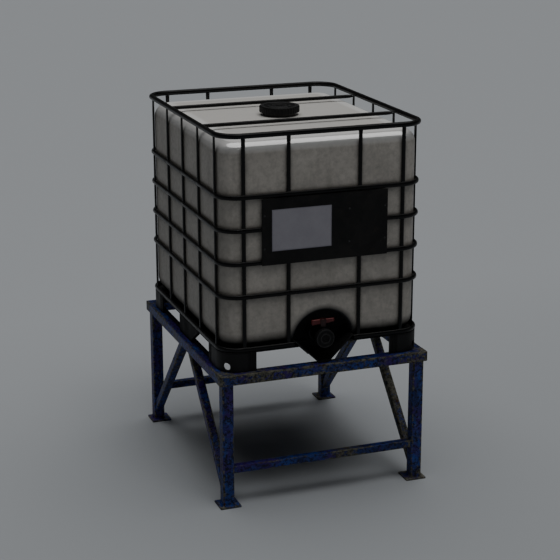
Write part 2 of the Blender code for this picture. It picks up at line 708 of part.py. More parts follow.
def build_bottle():
    """A hollow body with a filling neck, a valve pocket and an outlet boss."""
    bottle = add_part("bottle", bottle_mesh("bottle", 0.0), BOTTLE_WHITE, smooth=True)
    spill = 0.050
    pocket_length = POCKET_BACK + BOTTLE_HALF_Y + spill
    pocket_y = POCKET_BACK - pocket_length / 2
    pocket = rod_mesh("pocket", POCKET_RADIUS, pocket_length, "Y", 32)
    pocket_cutter = add_cutter("valve_pocket", pocket, (0.0, pocket_y, POCKET_HEIGHT))
    boolean(bottle, pocket_cutter, "DIFFERENCE")
    neck_base = BOTTLE_TOP - NECK_ROOT
    neck = rod_mesh("neck", NECK_RADIUS, NECK_TOP - neck_base, "Z", 40)
    boolean(bottle, add_cutter("neck", neck, (0.0, 0.0, (NECK_TOP + neck_base) / 2)), "UNION")
    boss_root = 0.002
    boss = rod_mesh("boss", BOSS_RADIUS, BOSS_LENGTH + boss_root, "Y", 24)
    boss_y = POCKET_BACK - (BOSS_LENGTH - boss_root) / 2
    boolean(bottle, add_cutter("boss", boss, (0.0, boss_y, VALVE_HEIGHT)), "UNION")
    inside = add_cutter("bottle_inside", bottle_mesh("bottle_inside", BOTTLE_WALL))
    pocket_wall = rod_mesh("pocket_wall", POCKET_RADIUS + BOTTLE_WALL, pocket_length, "Y", 32)
    wall_cutter = add_cutter("pocket_wall", pocket_wall, (0.0, pocket_y + BOTTLE_WALL, POCKET_HEIGHT))
    boolean(inside, wall_cutter, "DIFFERENCE")
    boolean(bottle, inside, "DIFFERENCE")
    bore_length = NECK_TOP - BOTTLE_TOP + spill
    neck_bore = rod_mesh("neck_bore", NECK_RADIUS - NECK_WALL, bore_length, "Z", 40)
    boolean(bottle, add_cutter("neck_bore", neck_bore, (0.0, 0.0, NECK_TOP - NECK_ROOT)), "DIFFERENCE")
    boss_bore = rod_mesh("boss_bore", BORE_RADIUS, 2 * BOSS_LENGTH, "Y", 24)
    boolean(bottle, add_cutter("boss_bore", boss_bore, (0.0, boss_y, VALVE_HEIGHT)), "DIFFERENCE")


def build_filling_cap():
    """A screw cap over the neck, with a flat gasket inside and a vent plug in its middle."""
    origin = Vector((0.0, 0.0, CAP_BOTTOM))
    low = NECK_TOP + GAP
    high = CAP_ROOF - GAP
    gasket = turned_mesh("gasket", [
        (NECK_RADIUS, high), (NECK_RADIUS, low), (GASKET_INNER_RADIUS, low), (GASKET_INNER_RADIUS, high)
    ])
    recess_floor = CAP_TOP - CAP_RECESS_DEPTH
    cap = turned_mesh("fill_cap", [
        (CAP_RECESS_RADIUS - 0.001, recess_floor),
        (CAP_RECESS_RADIUS, CAP_TOP),
        (CAP_RADIUS - 0.8 * CAP_EDGE, CAP_TOP),
        (CAP_RADIUS - 0.3 * CAP_EDGE, CAP_TOP - 0.3 * CAP_EDGE),
        (CAP_RADIUS, CAP_TOP - CAP_EDGE),
        (CAP_RADIUS, CAP_BOTTOM),
        (CAP_INNER_RADIUS, CAP_BOTTOM),
        (CAP_INNER_RADIUS, CAP_ROOF),
        (PLUG_HOLE_RADIUS, CAP_ROOF),
        (PLUG_HOLE_RADIUS, recess_floor),
    ], 60)
    head_top = CAP_TOP - GAP
    head_low = recess_floor + GAP
    shank = PLUG_HOLE_RADIUS - PLUG_CLEARANCE
    plug = turned_mesh("vent_plug", [
        (0.0, head_top),
        (PLUG_HEAD_RADIUS - 0.001, head_top),
        (PLUG_HEAD_RADIUS, head_top - 0.001),
        (PLUG_HEAD_RADIUS, head_low),
        (shank, head_low),
        (shank, CAP_ROOF - PLUG_LENGTH),
        (0.0, CAP_ROOF - PLUG_LENGTH),
    ])
    pieces = (
        ("cap_gasket", gasket, SEAL_RUBBER), ("fill_cap", cap, CAP_BLACK), ("vent_plug", plug, CAP_BLACK)
    )
    for name, mesh, look in pieces:
        mesh.transform(Matrix.Translation(-origin))
        add_part(name, mesh, look, origin, smooth=True)


def lay_forward(mesh):
    """Turns a mesh built about Z so that its top faces -Y, with its axis at the valve's height."""
    mesh.transform(Matrix.Translation((0.0, 0.0, VALVE_HEIGHT)) @ Matrix.Rotation(math.pi / 2, 4, "X"))
    return mesh


def build_valve_body():
    """A straight pipe with a flange at the bottle, a thick middle, a spout and a tower for the stem."""
    body = turned_mesh("valve_body", [
        (BORE_RADIUS, BODY_FRONT),
        (SPOUT_RADIUS - 0.0005, BODY_FRONT),
        (SPOUT_RADIUS, BODY_FRONT - 0.001),
        (SPOUT_RADIUS, BODY_SHOULDERS[1] + 0.001),
        (BODY_RADIUS, BODY_SHOULDERS[1]),
        (BODY_RADIUS, BODY_SHOULDERS[0]),
        (SPOUT_RADIUS, BODY_SHOULDERS[0] - 0.004),
        (SPOUT_RADIUS, FLANGE_FRONT + 0.001),
        (FLANGE_RADIUS, FLANGE_FRONT),
        (FLANGE_RADIUS, BODY_BACK),
        (BORE_RADIUS, BODY_BACK),
    ])
    valve = add_part("valve_body", lay_forward(body), VALVE_BLACK, smooth=True)
    tower_height = TOWER_TOP - VALVE_HEIGHT
    tower = rod_mesh("tower", TOWER_RADIUS, tower_height, "Z", 24)
    place = (0.0, STEM_Y, VALVE_HEIGHT + tower_height / 2)
    boolean(valve, add_cutter("tower", tower, place), "UNION")
    waterway = rod_mesh("waterway", BORE_RADIUS, 2 * (BODY_FRONT - BODY_BACK), "Y", 40)
    boolean(valve, add_cutter("waterway", waterway, (0.0, STEM_Y, VALVE_HEIGHT)), "DIFFERENCE")
    stem_bore = rod_mesh("stem_bore", STEM_RADIUS + STEM_CLEARANCE, 2 * tower_height, "Z", 20)
    stem_place = (0.0, STEM_Y, VALVE_HEIGHT + tower_height)
    boolean(valve, add_cutter("stem_bore", stem_bore, stem_place), "DIFFERENCE")


def build_valve_disc():
    """A round disc that closes the bore, fixed to the upright stem that turns it."""
    mesh = rod_mesh("disc", DISC_RADIUS, DISC_THICKNESS, "Y", 32)
    disc = add_part("valve_disc", mesh, VALVE_BLACK, (0.0, STEM_Y, VALVE_HEIGHT), smooth=True)
    stem_low = VALVE_HEIGHT - STEM_TAIL
    stem = rod_mesh("stem", STEM_RADIUS, STEM_TOP - stem_low, "Z", 16)
    boolean(disc, add_cutter("stem", stem, (0.0, STEM_Y, (STEM_TOP + stem_low) / 2)), "UNION")


def build_valve_handle():
    """A hub on the stem's end with a wing to each side."""
    hub_low = TOWER_TOP + 2 * GAP
    hub_middle = (HUB_TOP + hub_low) / 2
    hub = rod_mesh("hub", HUB_RADIUS, HUB_TOP - hub_low, "Z", 24)
    handle = add_part("valve_handle", hub, HANDLE_RED, (0.0, STEM_Y, hub_middle), smooth=True)
    tip = WING_HALF_SPAN
    wing_outline = [
        (-tip + 0.001, WING_LOW), (-WING_ROOT, WING_ROOT_LOW), (WING_ROOT, WING_ROOT_LOW),
        (tip - 0.001, WING_LOW), (tip, WING_HIGH - 0.008), (tip - 0.005, WING_HIGH),
        (-tip + 0.005, WING_HIGH), (-tip, WING_HIGH - 0.008),
    ]
    wings = outline_mesh("wings", wing_outline, WING_THICKNESS, "XZ", STEM_Y)
    boolean(handle, add_cutter("wings", wings), "UNION")
    socket_top = STEM_TOP + GAP
    socket_low = hub_low - WING_THICKNESS
    socket = rod_mesh("socket", STEM_RADIUS + GAP, socket_top - socket_low, "Z", 16)
    socket_place = (0.0, STEM_Y, (socket_top + socket_low) / 2)
    boolean(handle, add_cutter("stem_socket", socket, socket_place), "DIFFERENCE")


def build_outlet_cap():
    """A ribbed screw cap over the spout with a flat seal in it."""
    seal_low = BODY_FRONT + GAP
    seal_high = seal_low + SEAL_THICKNESS
    seal = turned_mesh("outlet_seal", [
        (0.0, seal_high), (SEAL_RADIUS, seal_high), (SEAL_RADIUS, seal_low), (0.0, seal_low)
    ])
    add_part("outlet_seal", lay_forward(seal), SEAL_RUBBER, smooth=True)
    roof = seal_high + GAP
    recess_floor = OUTLET_CAP_FRONT - 0.0045
    cap = turned_mesh("outlet_cap", [
        (0.0, recess_floor),
        (OUTLET_RECESS_RADIUS - 0.001, recess_floor),
        (OUTLET_RECESS_RADIUS, OUTLET_CAP_FRONT - 0.0005),
        (OUTLET_CAP_RADIUS - 0.002, OUTLET_CAP_FRONT),
        (OUTLET_CAP_RADIUS, OUTLET_CAP_FRONT - 0.002),
        (OUTLET_CAP_RADIUS, OUTLET_CAP_BACK),
        (OUTLET_CAP_BORE, OUTLET_CAP_BACK),
        (OUTLET_CAP_BORE, roof),
        (0.0, roof),
    ])
    add_part("outlet_cap", lay_forward(cap), VALVE_BLACK, smooth=True)


clear_scene()
parts = new_collection("intermediate_bulk_container")
cutters = new_collection("cutters")
build_legs()
build_stand_frame()
build_stand_rails()
build_braces()
build_deck()
build_corner_feet()
build_runners()
build_valve_guard()
build_rings()
build_posts()
build_top_bars()
build_label_plate()
build_bottle()
build_filling_cap()
build_valve_body()
build_valve_disc()
build_valve_handle()
build_outlet_cap()
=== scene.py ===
"""Looks for an intermediate bulk container: a bottle in a tubular cage on a pallet, on a steel stand.

Metres, +Z up, the outlet valve faces -Y. Every piece is a fine mesh made over its CAD node.
"""

import math

import bmesh
import bpy
import numpy as np
from mathutils import Matrix, Vector, noise


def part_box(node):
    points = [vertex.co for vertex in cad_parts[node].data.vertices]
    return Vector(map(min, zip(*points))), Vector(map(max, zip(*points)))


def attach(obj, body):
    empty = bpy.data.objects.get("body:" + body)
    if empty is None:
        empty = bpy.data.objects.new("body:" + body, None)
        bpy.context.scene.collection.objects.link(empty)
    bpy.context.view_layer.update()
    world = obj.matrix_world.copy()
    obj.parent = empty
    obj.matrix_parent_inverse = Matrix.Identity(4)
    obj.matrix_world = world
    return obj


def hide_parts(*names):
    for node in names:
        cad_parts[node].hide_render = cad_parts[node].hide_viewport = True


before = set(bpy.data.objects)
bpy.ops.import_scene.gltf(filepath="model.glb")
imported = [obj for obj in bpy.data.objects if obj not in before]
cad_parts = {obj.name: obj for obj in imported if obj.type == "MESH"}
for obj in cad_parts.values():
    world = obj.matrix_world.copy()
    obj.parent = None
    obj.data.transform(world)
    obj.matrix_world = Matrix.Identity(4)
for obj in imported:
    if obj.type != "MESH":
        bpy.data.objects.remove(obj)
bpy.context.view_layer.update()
ROOT = "tote_and_stand"
CORNERS = {"front_left": (-1, -1), "front_right": (1, -1), "rear_left": (-1, 1), "rear_right": (1, 1)}
X_AXIS, Y_AXIS, Z_AXIS = np.eye(3)

# Sizes that several pieces share, in metres.
TUBE_CORNER, SLIM_CORNER = 0.0045, 0.0035
PALLET_CORNER = 0.095
GUARD_FLOOR_HALF = 0.025
CAGE_HALF_X, CAGE_HALF_Y, CAGE_CORNER = 0.4875, 0.5875, 0.100
RING_HALF_DEPTH, RING_HALF_HEIGHT = 0.008, 0.011
POST_HALF_WIDTH, POST_HALF_DEPTH = 0.009, 0.005
BASE_RING_END = 0.146
BOTTLE_TOP = 1.696
BOTTLE_PANEL_INSET = 0.094
POCKET_RADIUS, POCKET_HEIGHT, POCKET_BACK = 0.150, 0.745, -0.455
OUTLET_HEIGHT, STEM_Y = 0.765, -0.571
# Height below which the handle carries painted shade.
HANDLE_SHADE_HEIGHT = 0.821
HANDLE_HUB_RADIUS = 0.0150

# Brightness of the studio's surroundings, level with the floor and above.
HORIZON, ZENITH = 0.26, 0.024
SHARP_ANGLE = 38.0


def box(node):
    """Lowest and highest corner of a CAD node as two arrays."""
    low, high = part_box(node)
    return np.array(low), np.array(high)


def corners_of(node):
    """The corner points of a CAD node."""
    return np.array([vertex.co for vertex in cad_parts[node].data.vertices])


# ---------------------------------------------------------------- mesh tools


class Shape:
    """Gathers skins over rows of points, with a wear value for each point, into one mesh."""

    def __init__(self, rows=None):
        self.points, self.faces, self.wear = [], [], []
        if rows is not None:
            self.skin(rows)

    def skin(self, rows, wear=None, looped=True, joined=False, caps=True):
        """A surface over rows of equally many points; looped closes each row, joined links last to first."""
        start = len(self.points)
        count = len(rows[0])
        for index, row in enumerate(rows):
            self.points.extend(tuple(map(float, point)) for point in row)
            values = wear[index] if wear is not None else np.zeros(count)
            self.wear.extend(float(value) for value in values)
        last = len(rows) if joined else len(rows) - 1
        for i in range(last):
            upper = start + (i + 1) % len(rows) * count
            lower = start + i * count
            for j in range(count if looped else count - 1):
                k = (j + 1) % count
                self.faces.append((lower + j, lower + k, upper + k, upper + j))
        if caps and not joined:
            self.faces.append(tuple(range(start + count - 1, start - 1, -1)))
            end = start + (len(rows) - 1) * count
            self.faces.append(tuple(range(end, end + count)))

    def mesh(self, name, sharp=SHARP_ANGLE):
        made = bpy.data.meshes.new(name)
        made.from_pydata(self.points, [], self.faces)
        made.attributes.new("wear", "FLOAT", "POINT").data.foreach_set("value", self.wear)
        outward(made)
        made.shade_smooth()
        made.set_sharp_from_angle(angle=math.radians(sharp))
        return made

    def piece(self, name, look, slot, body, *nodes, sharp=SHARP_ANGLE):
        """The shape as a finished piece with its look; the rest is as for piece."""
        mesh = self.mesh(name, sharp)
        mesh.materials.append(look)
        return piece(name, mesh, slot, body, *nodes)


def outward(mesh):
    bm = bmesh.new()
    bm.from_mesh(mesh)
    bmesh.ops.recalc_face_normals(bm, faces=bm.faces)
    bm.to_mesh(mesh)
    bm.free()


def link(name, data):
    """A new object in the scene."""
    obj = bpy.data.objects.new(name, data)
    bpy.context.scene.collection.objects.link(obj)
    return obj


def piece(name, mesh, slot, body, *nodes):
    """An object of the container that rides on a body and stands for its CAD nodes."""
    obj = link(name, mesh)
    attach(obj, body)
    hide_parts(*nodes)
    return obj


def softened(points, radius, steps=3):
    """A line of points whose inner corners are rounded off."""
    points = [np.array(point, float) for point in points]
    smooth = [points[0]]
    for before, corner, after in zip(points, points[1:], points[2:]):
        lengths = np.linalg.norm(before - corner), np.linalg.norm(after - corner)
        cut = min(radius, 0.45 * lengths[0], 0.45 * lengths[1])
        start = corner + (before - corner) * cut / lengths[0]
        end = corner + (after - corner) * cut / lengths[1]
        for i in range(steps + 1):
            t = i / steps
            smooth.append((1 - t) ** 2 * start + 2 * t * (1 - t) * corner + t * t * end)
    return smooth + [points[-1]]


def rectangle_loop(half_x, half_y, corner, per_side=(1, 1), per_corner=8):
    """Points round a rectangle with rounded corners, the same number whatever its size."""
    loop = []
    sides = ((1, -1, 270), (1, 1, 0), (-1, 1, 90), (-1, -1, 180))
    for index, (side_x, side_y, start) in enumerate(sides):
        centre = np.array((side_x * (half_x - corner), side_y * (half_y - corner)))
        angles = np.radians(np.linspace(start, start + 90, per_corner + 1))
        turn = [centre + corner * np.array((math.cos(a), math.sin(a))) for a in angles]
        loop.extend(turn)
        next_x, next_y = sides[(index + 1) % 4][:2]
        end = np.array((next_x * (half_x - corner), next_y * (half_y - corner)))
        end = end + corner * np.array((math.cos(angles[-1]), math.sin(angles[-1])))
        parts = per_side[1] if index % 2 == 0 else per_side[0]
        loop.extend(turn[-1] + (end - turn[-1]) * i / parts for i in range(1, parts))
    return np.array(loop)


def stack(x, y, z):
    """Points from their coordinates, each a list or one number for all."""
    return np.column_stack(np.broadcast_arrays(x, y, z))


def lifted(loop, height):
    """A flat loop of points at a height."""
    return stack(loop[:, 0], loop[:, 1], height)


def section(half_a, half_b, corner, fade=0.006, steps=4):
    """Points round a square tube's section, with 1 on its rounded corners fading to 0 beside them."""
    points, wear = [], []
    fade = min(fade, 0.45 * (half_a - corner), 0.45 * (half_b - corner))
    for side_a, side_b, start in ((1, -1, 270), (1, 1, 0), (-1, 1, 90), (-1, -1, 180)):
        centre = np.array((side_a * (half_a - corner), side_b * (half_b - corner)))
        angles = np.radians(np.linspace(start, start + 90, steps + 1))
        arc = [centre + corner * np.array((math.cos(a), math.sin(a))) for a in angles]
        entry = arc[0] - fade * np.array((-math.sin(angles[0]), math.cos(angles[0])))
        leave = arc[-1] + fade * np.array((-math.sin(angles[-1]), math.cos(angles[-1])))
        points += [entry, *arc, leave]
        wear += [0.0] + [1.0] * len(arc) + [0.0]
    return np.array(points), np.array(wear)


def bar(shape, start, end, across, halves, corner, planes=None, worn=None, rows=14, chamfer=0.0012):
    """A tube of rounded square section from start to end.

    planes are the normals its ends are cut to; worn lists patches of bare metal as for wear_patch.
    """
    start, end, across = (np.array(v, float) for v in (start, end, across))
    along = (end - start) / np.linalg.norm(end - start)
    up = np.cross(along, across)
    outline, edge = section(*halves, corner)
    inner, _ = section(halves[0] - chamfer, halves[1] - chamfer, max(corner - chamfer, 0.0005))
    planes = planes or (along, along)

    def cut(flat, centre, normal):
        offsets = flat[:, :1] * across + flat[:, 1:] * up
        slide = -(offsets @ np.array(normal)) / (along @ np.array(normal))
        return centre + offsets + slide[:, None] * along

    lower, upper = cut(outline, start, planes[0]), cut(outline, end, planes[1])
    made, values = [cut(inner, start, planes[0])], [np.ones(len(edge))]
    length = np.linalg.norm(end - start)
    for t in [chamfer / length, *np.linspace(0.02, 0.98, rows), 1 - chamfer / length]:
        row = lower + (upper - lower) * t
        made.append(row)
        near_end = 1.0 if t < 0.01 or t > 0.99 else 0.0
        base = np.array([wear_patch(point, worn) for point in row]) if worn else 0.0
        values.append(np.maximum(edge, near_end) + 2.0 * base)
    made.append(cut(inner, end, planes[1]))
    values.append(np.ones(len(edge)))
    shape.skin(made, values)


def bead(shape, path, origin, first, second, radius, seed, looped=True):
    """A weld bead with uneven ripples that follows a flat path; first and second span its plane."""
    origin, first, second = (np.array(v, float) for v in (origin, first, second))
    third = np.cross(first, second)
    dense = []
    path = [np.array(point, float) for point in path]
    pairs = list(zip(path, path[1:] + path[:1]))
    for a, b in pairs if looped else pairs[:-1]:
        parts = max(1, int(np.linalg.norm(b - a) / 0.0035))
        dense += [a + (b - a) * i / parts for i in range(parts)]
    rows = []
    for i, point in enumerate(dense):
        ahead = dense[(i + 1) % len(dense)] - dense[i - 1]
        normal = np.array((ahead[1], -ahead[0])) / max(np.linalg.norm(ahead), 1e-9)
        swell = radius * (1.0 + 0.30 * noise.noise(Vector((i * 0.9, seed * 3.7, 0.0))) + 0.14 * (i % 2))
        ring = []
        for k in range(8):
            angle = math.tau * k / 8
            flat = point + normal * swell * math.cos(angle)
            ring.append(origin + flat[0] * first + flat[1] * second + third * swell * math.sin(angle))
        rows.append(ring)
    shape.skin(rows, [np.full(8, 0.7)] * len(rows), joined=looped)


def turned(shape, profile, steps=96, ring=False, ripple=None, place=None):
    """A profile of (radius, height) turned about Z; ripple(angles, radius, height) changes a row's radius."""
    angles = np.linspace(0, math.tau, steps, endpoint=False)
    rows = []
    for radius, height in profile:
        radii = np.full(steps, float(radius)) + (ripple(angles, radius, height) if ripple else 0.0)
        row = stack(radii * np.cos(angles), radii * np.sin(angles), height)
        if place is not None:
            row = np.array([place @ Vector(point) for point in row])
        rows.append(row)
    shape.skin(rows, joined=ring)


def lathed(profile, radius, steps=96, ring=False, ripple=None, place=None):
    """A shape turned from a profile with rounded corners; a ring's profile ends where it starts."""
    shape = Shape()
    points = softened(profile, radius)
    turned(shape, points[:-1] if ring else points, steps, ring, ripple, place)
    return shape


def ring_tube(shape, path, height, half_depth, half_height, looped=True, pressed=None, sides=16):
    """A level tube round a path; pressed(point) flattens its section where it is welded."""
    angles = np.linspace(0, math.tau, sides, endpoint=False)
    rows = []
    for i, point in enumerate(path):
        before = path[i - 1] if looped or i else point
        after = path[(i + 1) % len(path)] if looped or i < len(path) - 1 else point
        ahead = (after - before) / np.linalg.norm(after - before)
        outwards = np.array((ahead[1], -ahead[0]))
        press = pressed(point) if pressed else 0.0
        deep = half_depth * (1 - 0.14 * press)
        tall = half_height * (1 + 0.07 * press)
        flat = point + outwards * (deep * np.cos(angles))[:, None]
        rows.append(np.column_stack([flat, height + tall * np.sin(angles)]))
    shape.skin(rows, joined=looped)


def lathe_y(centre):
    """Turns a shape about Z so that its top faces -Y, with its axis through centre."""
    return Matrix.Translation(centre) @ Matrix.Rotation(math.pi / 2, 4, "X")


def spoke(angle):
    """Directions away from Z at an angle, and across that."""
    outwards = np.array((math.cos(angle), math.sin(angle), 0.0))
    return outwards, np.array((-outwards[1], outwards[0], 0.0))


# ---------------------------------------------------------------- materials


class Look:
    """Short calls that build one material's nodes."""

    def __init__(self, name):
        self.material = bpy.data.materials.new(name)
        self.material.use_nodes = True
        self.tree = self.material.node_tree
        self.shader = self.tree.nodes["Principled BSDF"]
        coordinates = self.tree.nodes.new("ShaderNodeTexCoord")
        self.place = coordinates.outputs["Object"]

    def node(self, kind, inputs=(), **settings):
        made = self.tree.nodes.new(kind)
        for key, value in settings.items():
            setattr(made, key, value)
        for key, value in dict(inputs).items():
            self.feed(made.inputs[key], value)
        return made

    def feed(self, socket, value):
        if isinstance(value, bpy.types.NodeSocket):
            self.tree.links.new(value, socket)
        elif isinstance(value, tuple) and len(value) == 3 and socket.type == "RGBA":
            socket.default_value = (*value, 1.0)
        else:
            socket.default_value = value

    def math(self, operation, first, second=0.0, clamp=False):
        made = self.node("ShaderNodeMath", {0: first, 1: second}, operation=operation, use_clamp=clamp)
        return made.outputs[0]

    def times(self, first, second):
        return self.math("MULTIPLY", first, second)

    def plus(self, first, second, clamp=False):
        return self.math("ADD", first, second, clamp)

    def most(self, first, second):
        return self.math("MAXIMUM", first, second)

    def abs(self, value):
        return self.math("ABSOLUTE", value)

    def noise(self, scale, detail=3.0, rough=0.55, vector=None, twist=0.0):
        inputs = {
            "Vector": vector or self.place, "Scale": scale, "Detail": detail, "Roughness": rough,
            "Distortion": twist,
        }
        return self.node("ShaderNodeTexNoise", inputs).outputs["Fac"]

    def stretched(self, x, y, z):
        """Coordinates squeezed along the axes, for streaks."""
        mapping = self.node("ShaderNodeMapping", {"Vector": self.place, "Scale": (x, y, z)})
        return mapping.outputs["Vector"]

    def span(self, value, low, high, to_low=0.0, to_high=1.0):
        inputs = {0: value, 1: low, 2: high, 3: to_low, 4: to_high}
        return self.node("ShaderNodeMapRange", inputs, clamp=True).outputs[0]

    def mix(self, factor, first, second):
        inputs = {0: factor, 6: first, 7: second}
        return self.node("ShaderNodeMix", inputs, data_type="RGBA").outputs[2]

    def attribute(self, name):
        return self.node("ShaderNodeAttribute", attribute_name=name).outputs["Fac"]

    def parts(self, socket):
        split = self.node("ShaderNodeSeparateXYZ", {0: socket})
        return split.outputs

    def facing(self):
        """X, Y and Z of the surface's normal."""
        return self.parts(self.node("ShaderNodeNewGeometry").outputs["Normal"])

    def near(self, value, centres, reach):
        """1 on any of the centres, fading to 0 at reach from it."""
        closest = None
        for centre in centres:
            gap = self.abs(self.math("SUBTRACT", value, centre))
            closest = gap if closest is None else self.math("MINIMUM", closest, gap)
        return self.span(closest, 0.0, reach, 1.0, 0.0)

    def bump(self, height, strength, distance, under=None):
        inputs = {"Height": height, "Strength": strength, "Distance": distance}
        if under is not None:
            inputs["Normal"] = under
        return self.node("ShaderNodeBump", inputs).outputs["Normal"]

    def finish(self, colour, roughness, normal=None, metallic=0.0, **fixed):
        self.feed(self.shader.inputs["Base Color"], colour)
        self.feed(self.shader.inputs["Roughness"], roughness)
        self.feed(self.shader.inputs["Metallic"], metallic)
        if normal is not None:
            self.feed(self.shader.inputs["Normal"], normal)
        for key, value in fixed.items():
            self.shader.inputs[key.replace("_", " ")].default_value = value
        return self.material


def stand_look():
    """Weathered blue paint: purple patches, chips to olive-grey metal and rust, most on edges."""
    look = Look("stand_paint_worn")
    wear = look.attribute("wear")
    edge = look.math("MINIMUM", wear, 1.0)
    worn = look.times(wear, 0.25)
    patches = look.noise(11.0, 5.0, 0.65)
    hue = look.noise(7.0, 3.0, 0.6, look.stretched(1.3, 0.8, 1.0), 0.4)
    blue = look.mix(look.span(patches, 0.38, 0.64), (0.006, 0.012, 0.076), (0.019, 0.058, 0.300))
    paint = look.mix(look.span(hue, 0.50, 0.62), blue, (0.036, 0.012, 0.150))
    fine = look.noise(70.0, 4.0, 0.70)
    flecks = look.span(look.noise(52.0, 3.0, 0.7, twist=0.5), 0.56, 0.66, 0.0, 0.55)
    paint = look.mix(flecks, paint, (0.055, 0.110, 0.360))
    speckle = look.span(fine, 0.44, 0.50, 0.92, 0.0)
    paint = look.mix(speckle, paint, (0.003, 0.003, 0.007))
    chips = look.noise(48.0, 7.0, 0.76, twist=0.3)
    drift = look.noise(4.5, 3.0, 0.55)
    rubbed = look.span(look.noise(8.0, 3.0, 0.6), 0.46, 0.62, 0.012, 0.090)
    reach = look.plus(look.times(edge, rubbed), look.times(worn, 0.42))
    reach = look.plus(reach, look.span(drift, 0.40, 0.70, -0.05, 0.09))
    level = look.plus(chips, reach)
    bare = look.span(level, 0.630, 0.672)
    grime_and_shade = look.noise(60.0, 5.0, 0.75)
    metal = look.mix(look.span(grime_and_shade, 0.40, 0.60), (0.022, 0.022, 0.018), (0.190, 0.185, 0.150))
    rust = look.mix(look.noise(90.0, 2.0), (0.034, 0.018, 0.011), (0.095, 0.048, 0.024))
    metal = look.mix(look.span(look.noise(34.0, 4.0, 0.6), 0.58, 0.67), metal, rust)
    colour = look.mix(bare, paint, metal)
    roughness = look.span(bare, 0.0, 1.0, 0.46, 0.74)
    roughness = look.plus(roughness, look.span(patches, 0.3, 0.7, -0.06, 0.08))
    relief = look.bump(look.plus(look.times(bare, -0.5), fine), 0.5, 0.0009)
    relief = look.bump(look.noise(18.0, 2.0), 0.15, 0.003, relief)
    metallic = look.span(bare, 0.0, 1.0, 0.0, 0.35)
    return look.finish(colour, roughness, relief, metallic, Specular_IOR_Level=0.30)


def coated_look(name, dark, light, rough, grain, dust_and_sheen, scuff, specular):
    """Black coating or moulded plastic: grain, scuffs, and a dusty film on what faces up, which on the cage
    also stands for a painted highlight along the tube tops.
    """
    look = Look(name)
    up = look.facing()[2]
    tone = look.noise(14.0, 4.0, 0.6)
    colour = look.mix(look.span(tone, 0.35, 0.70), dark, tuple(1.7 * value for value in dark))
    # Dusty film on upward faces, which on the cage also stands for a painted highlight along the tube tops.
    settled_dust_and_sheen = look.span(look.noise(38.0, 5.0, 0.7), 0.35, 0.70)
    settled_dust_and_sheen = look.times(look.span(up, 0.35, 1.0), settled_dust_and_sheen)
    colour = look.mix(look.times(settled_dust_and_sheen, dust_and_sheen), colour, light)
    scratches = look.span(look.noise(60.0, 5.0, 0.75, look.stretched(1.0, 1.0, 0.22)), 0.62, 0.74)
    colour = look.mix(look.times(scratches, scuff), colour, light)
    roughness = look.plus(rough, look.span(tone, 0.3, 0.7, -0.07, 0.10))
    roughness = look.plus(roughness, look.times(settled_dust_and_sheen, 0.18))
    relief = look.bump(look.noise(grain, 2.0, 0.6), 0.35, 0.0005)
    return look.finish(colour, roughness, relief, Specular_IOR_Level=specular)


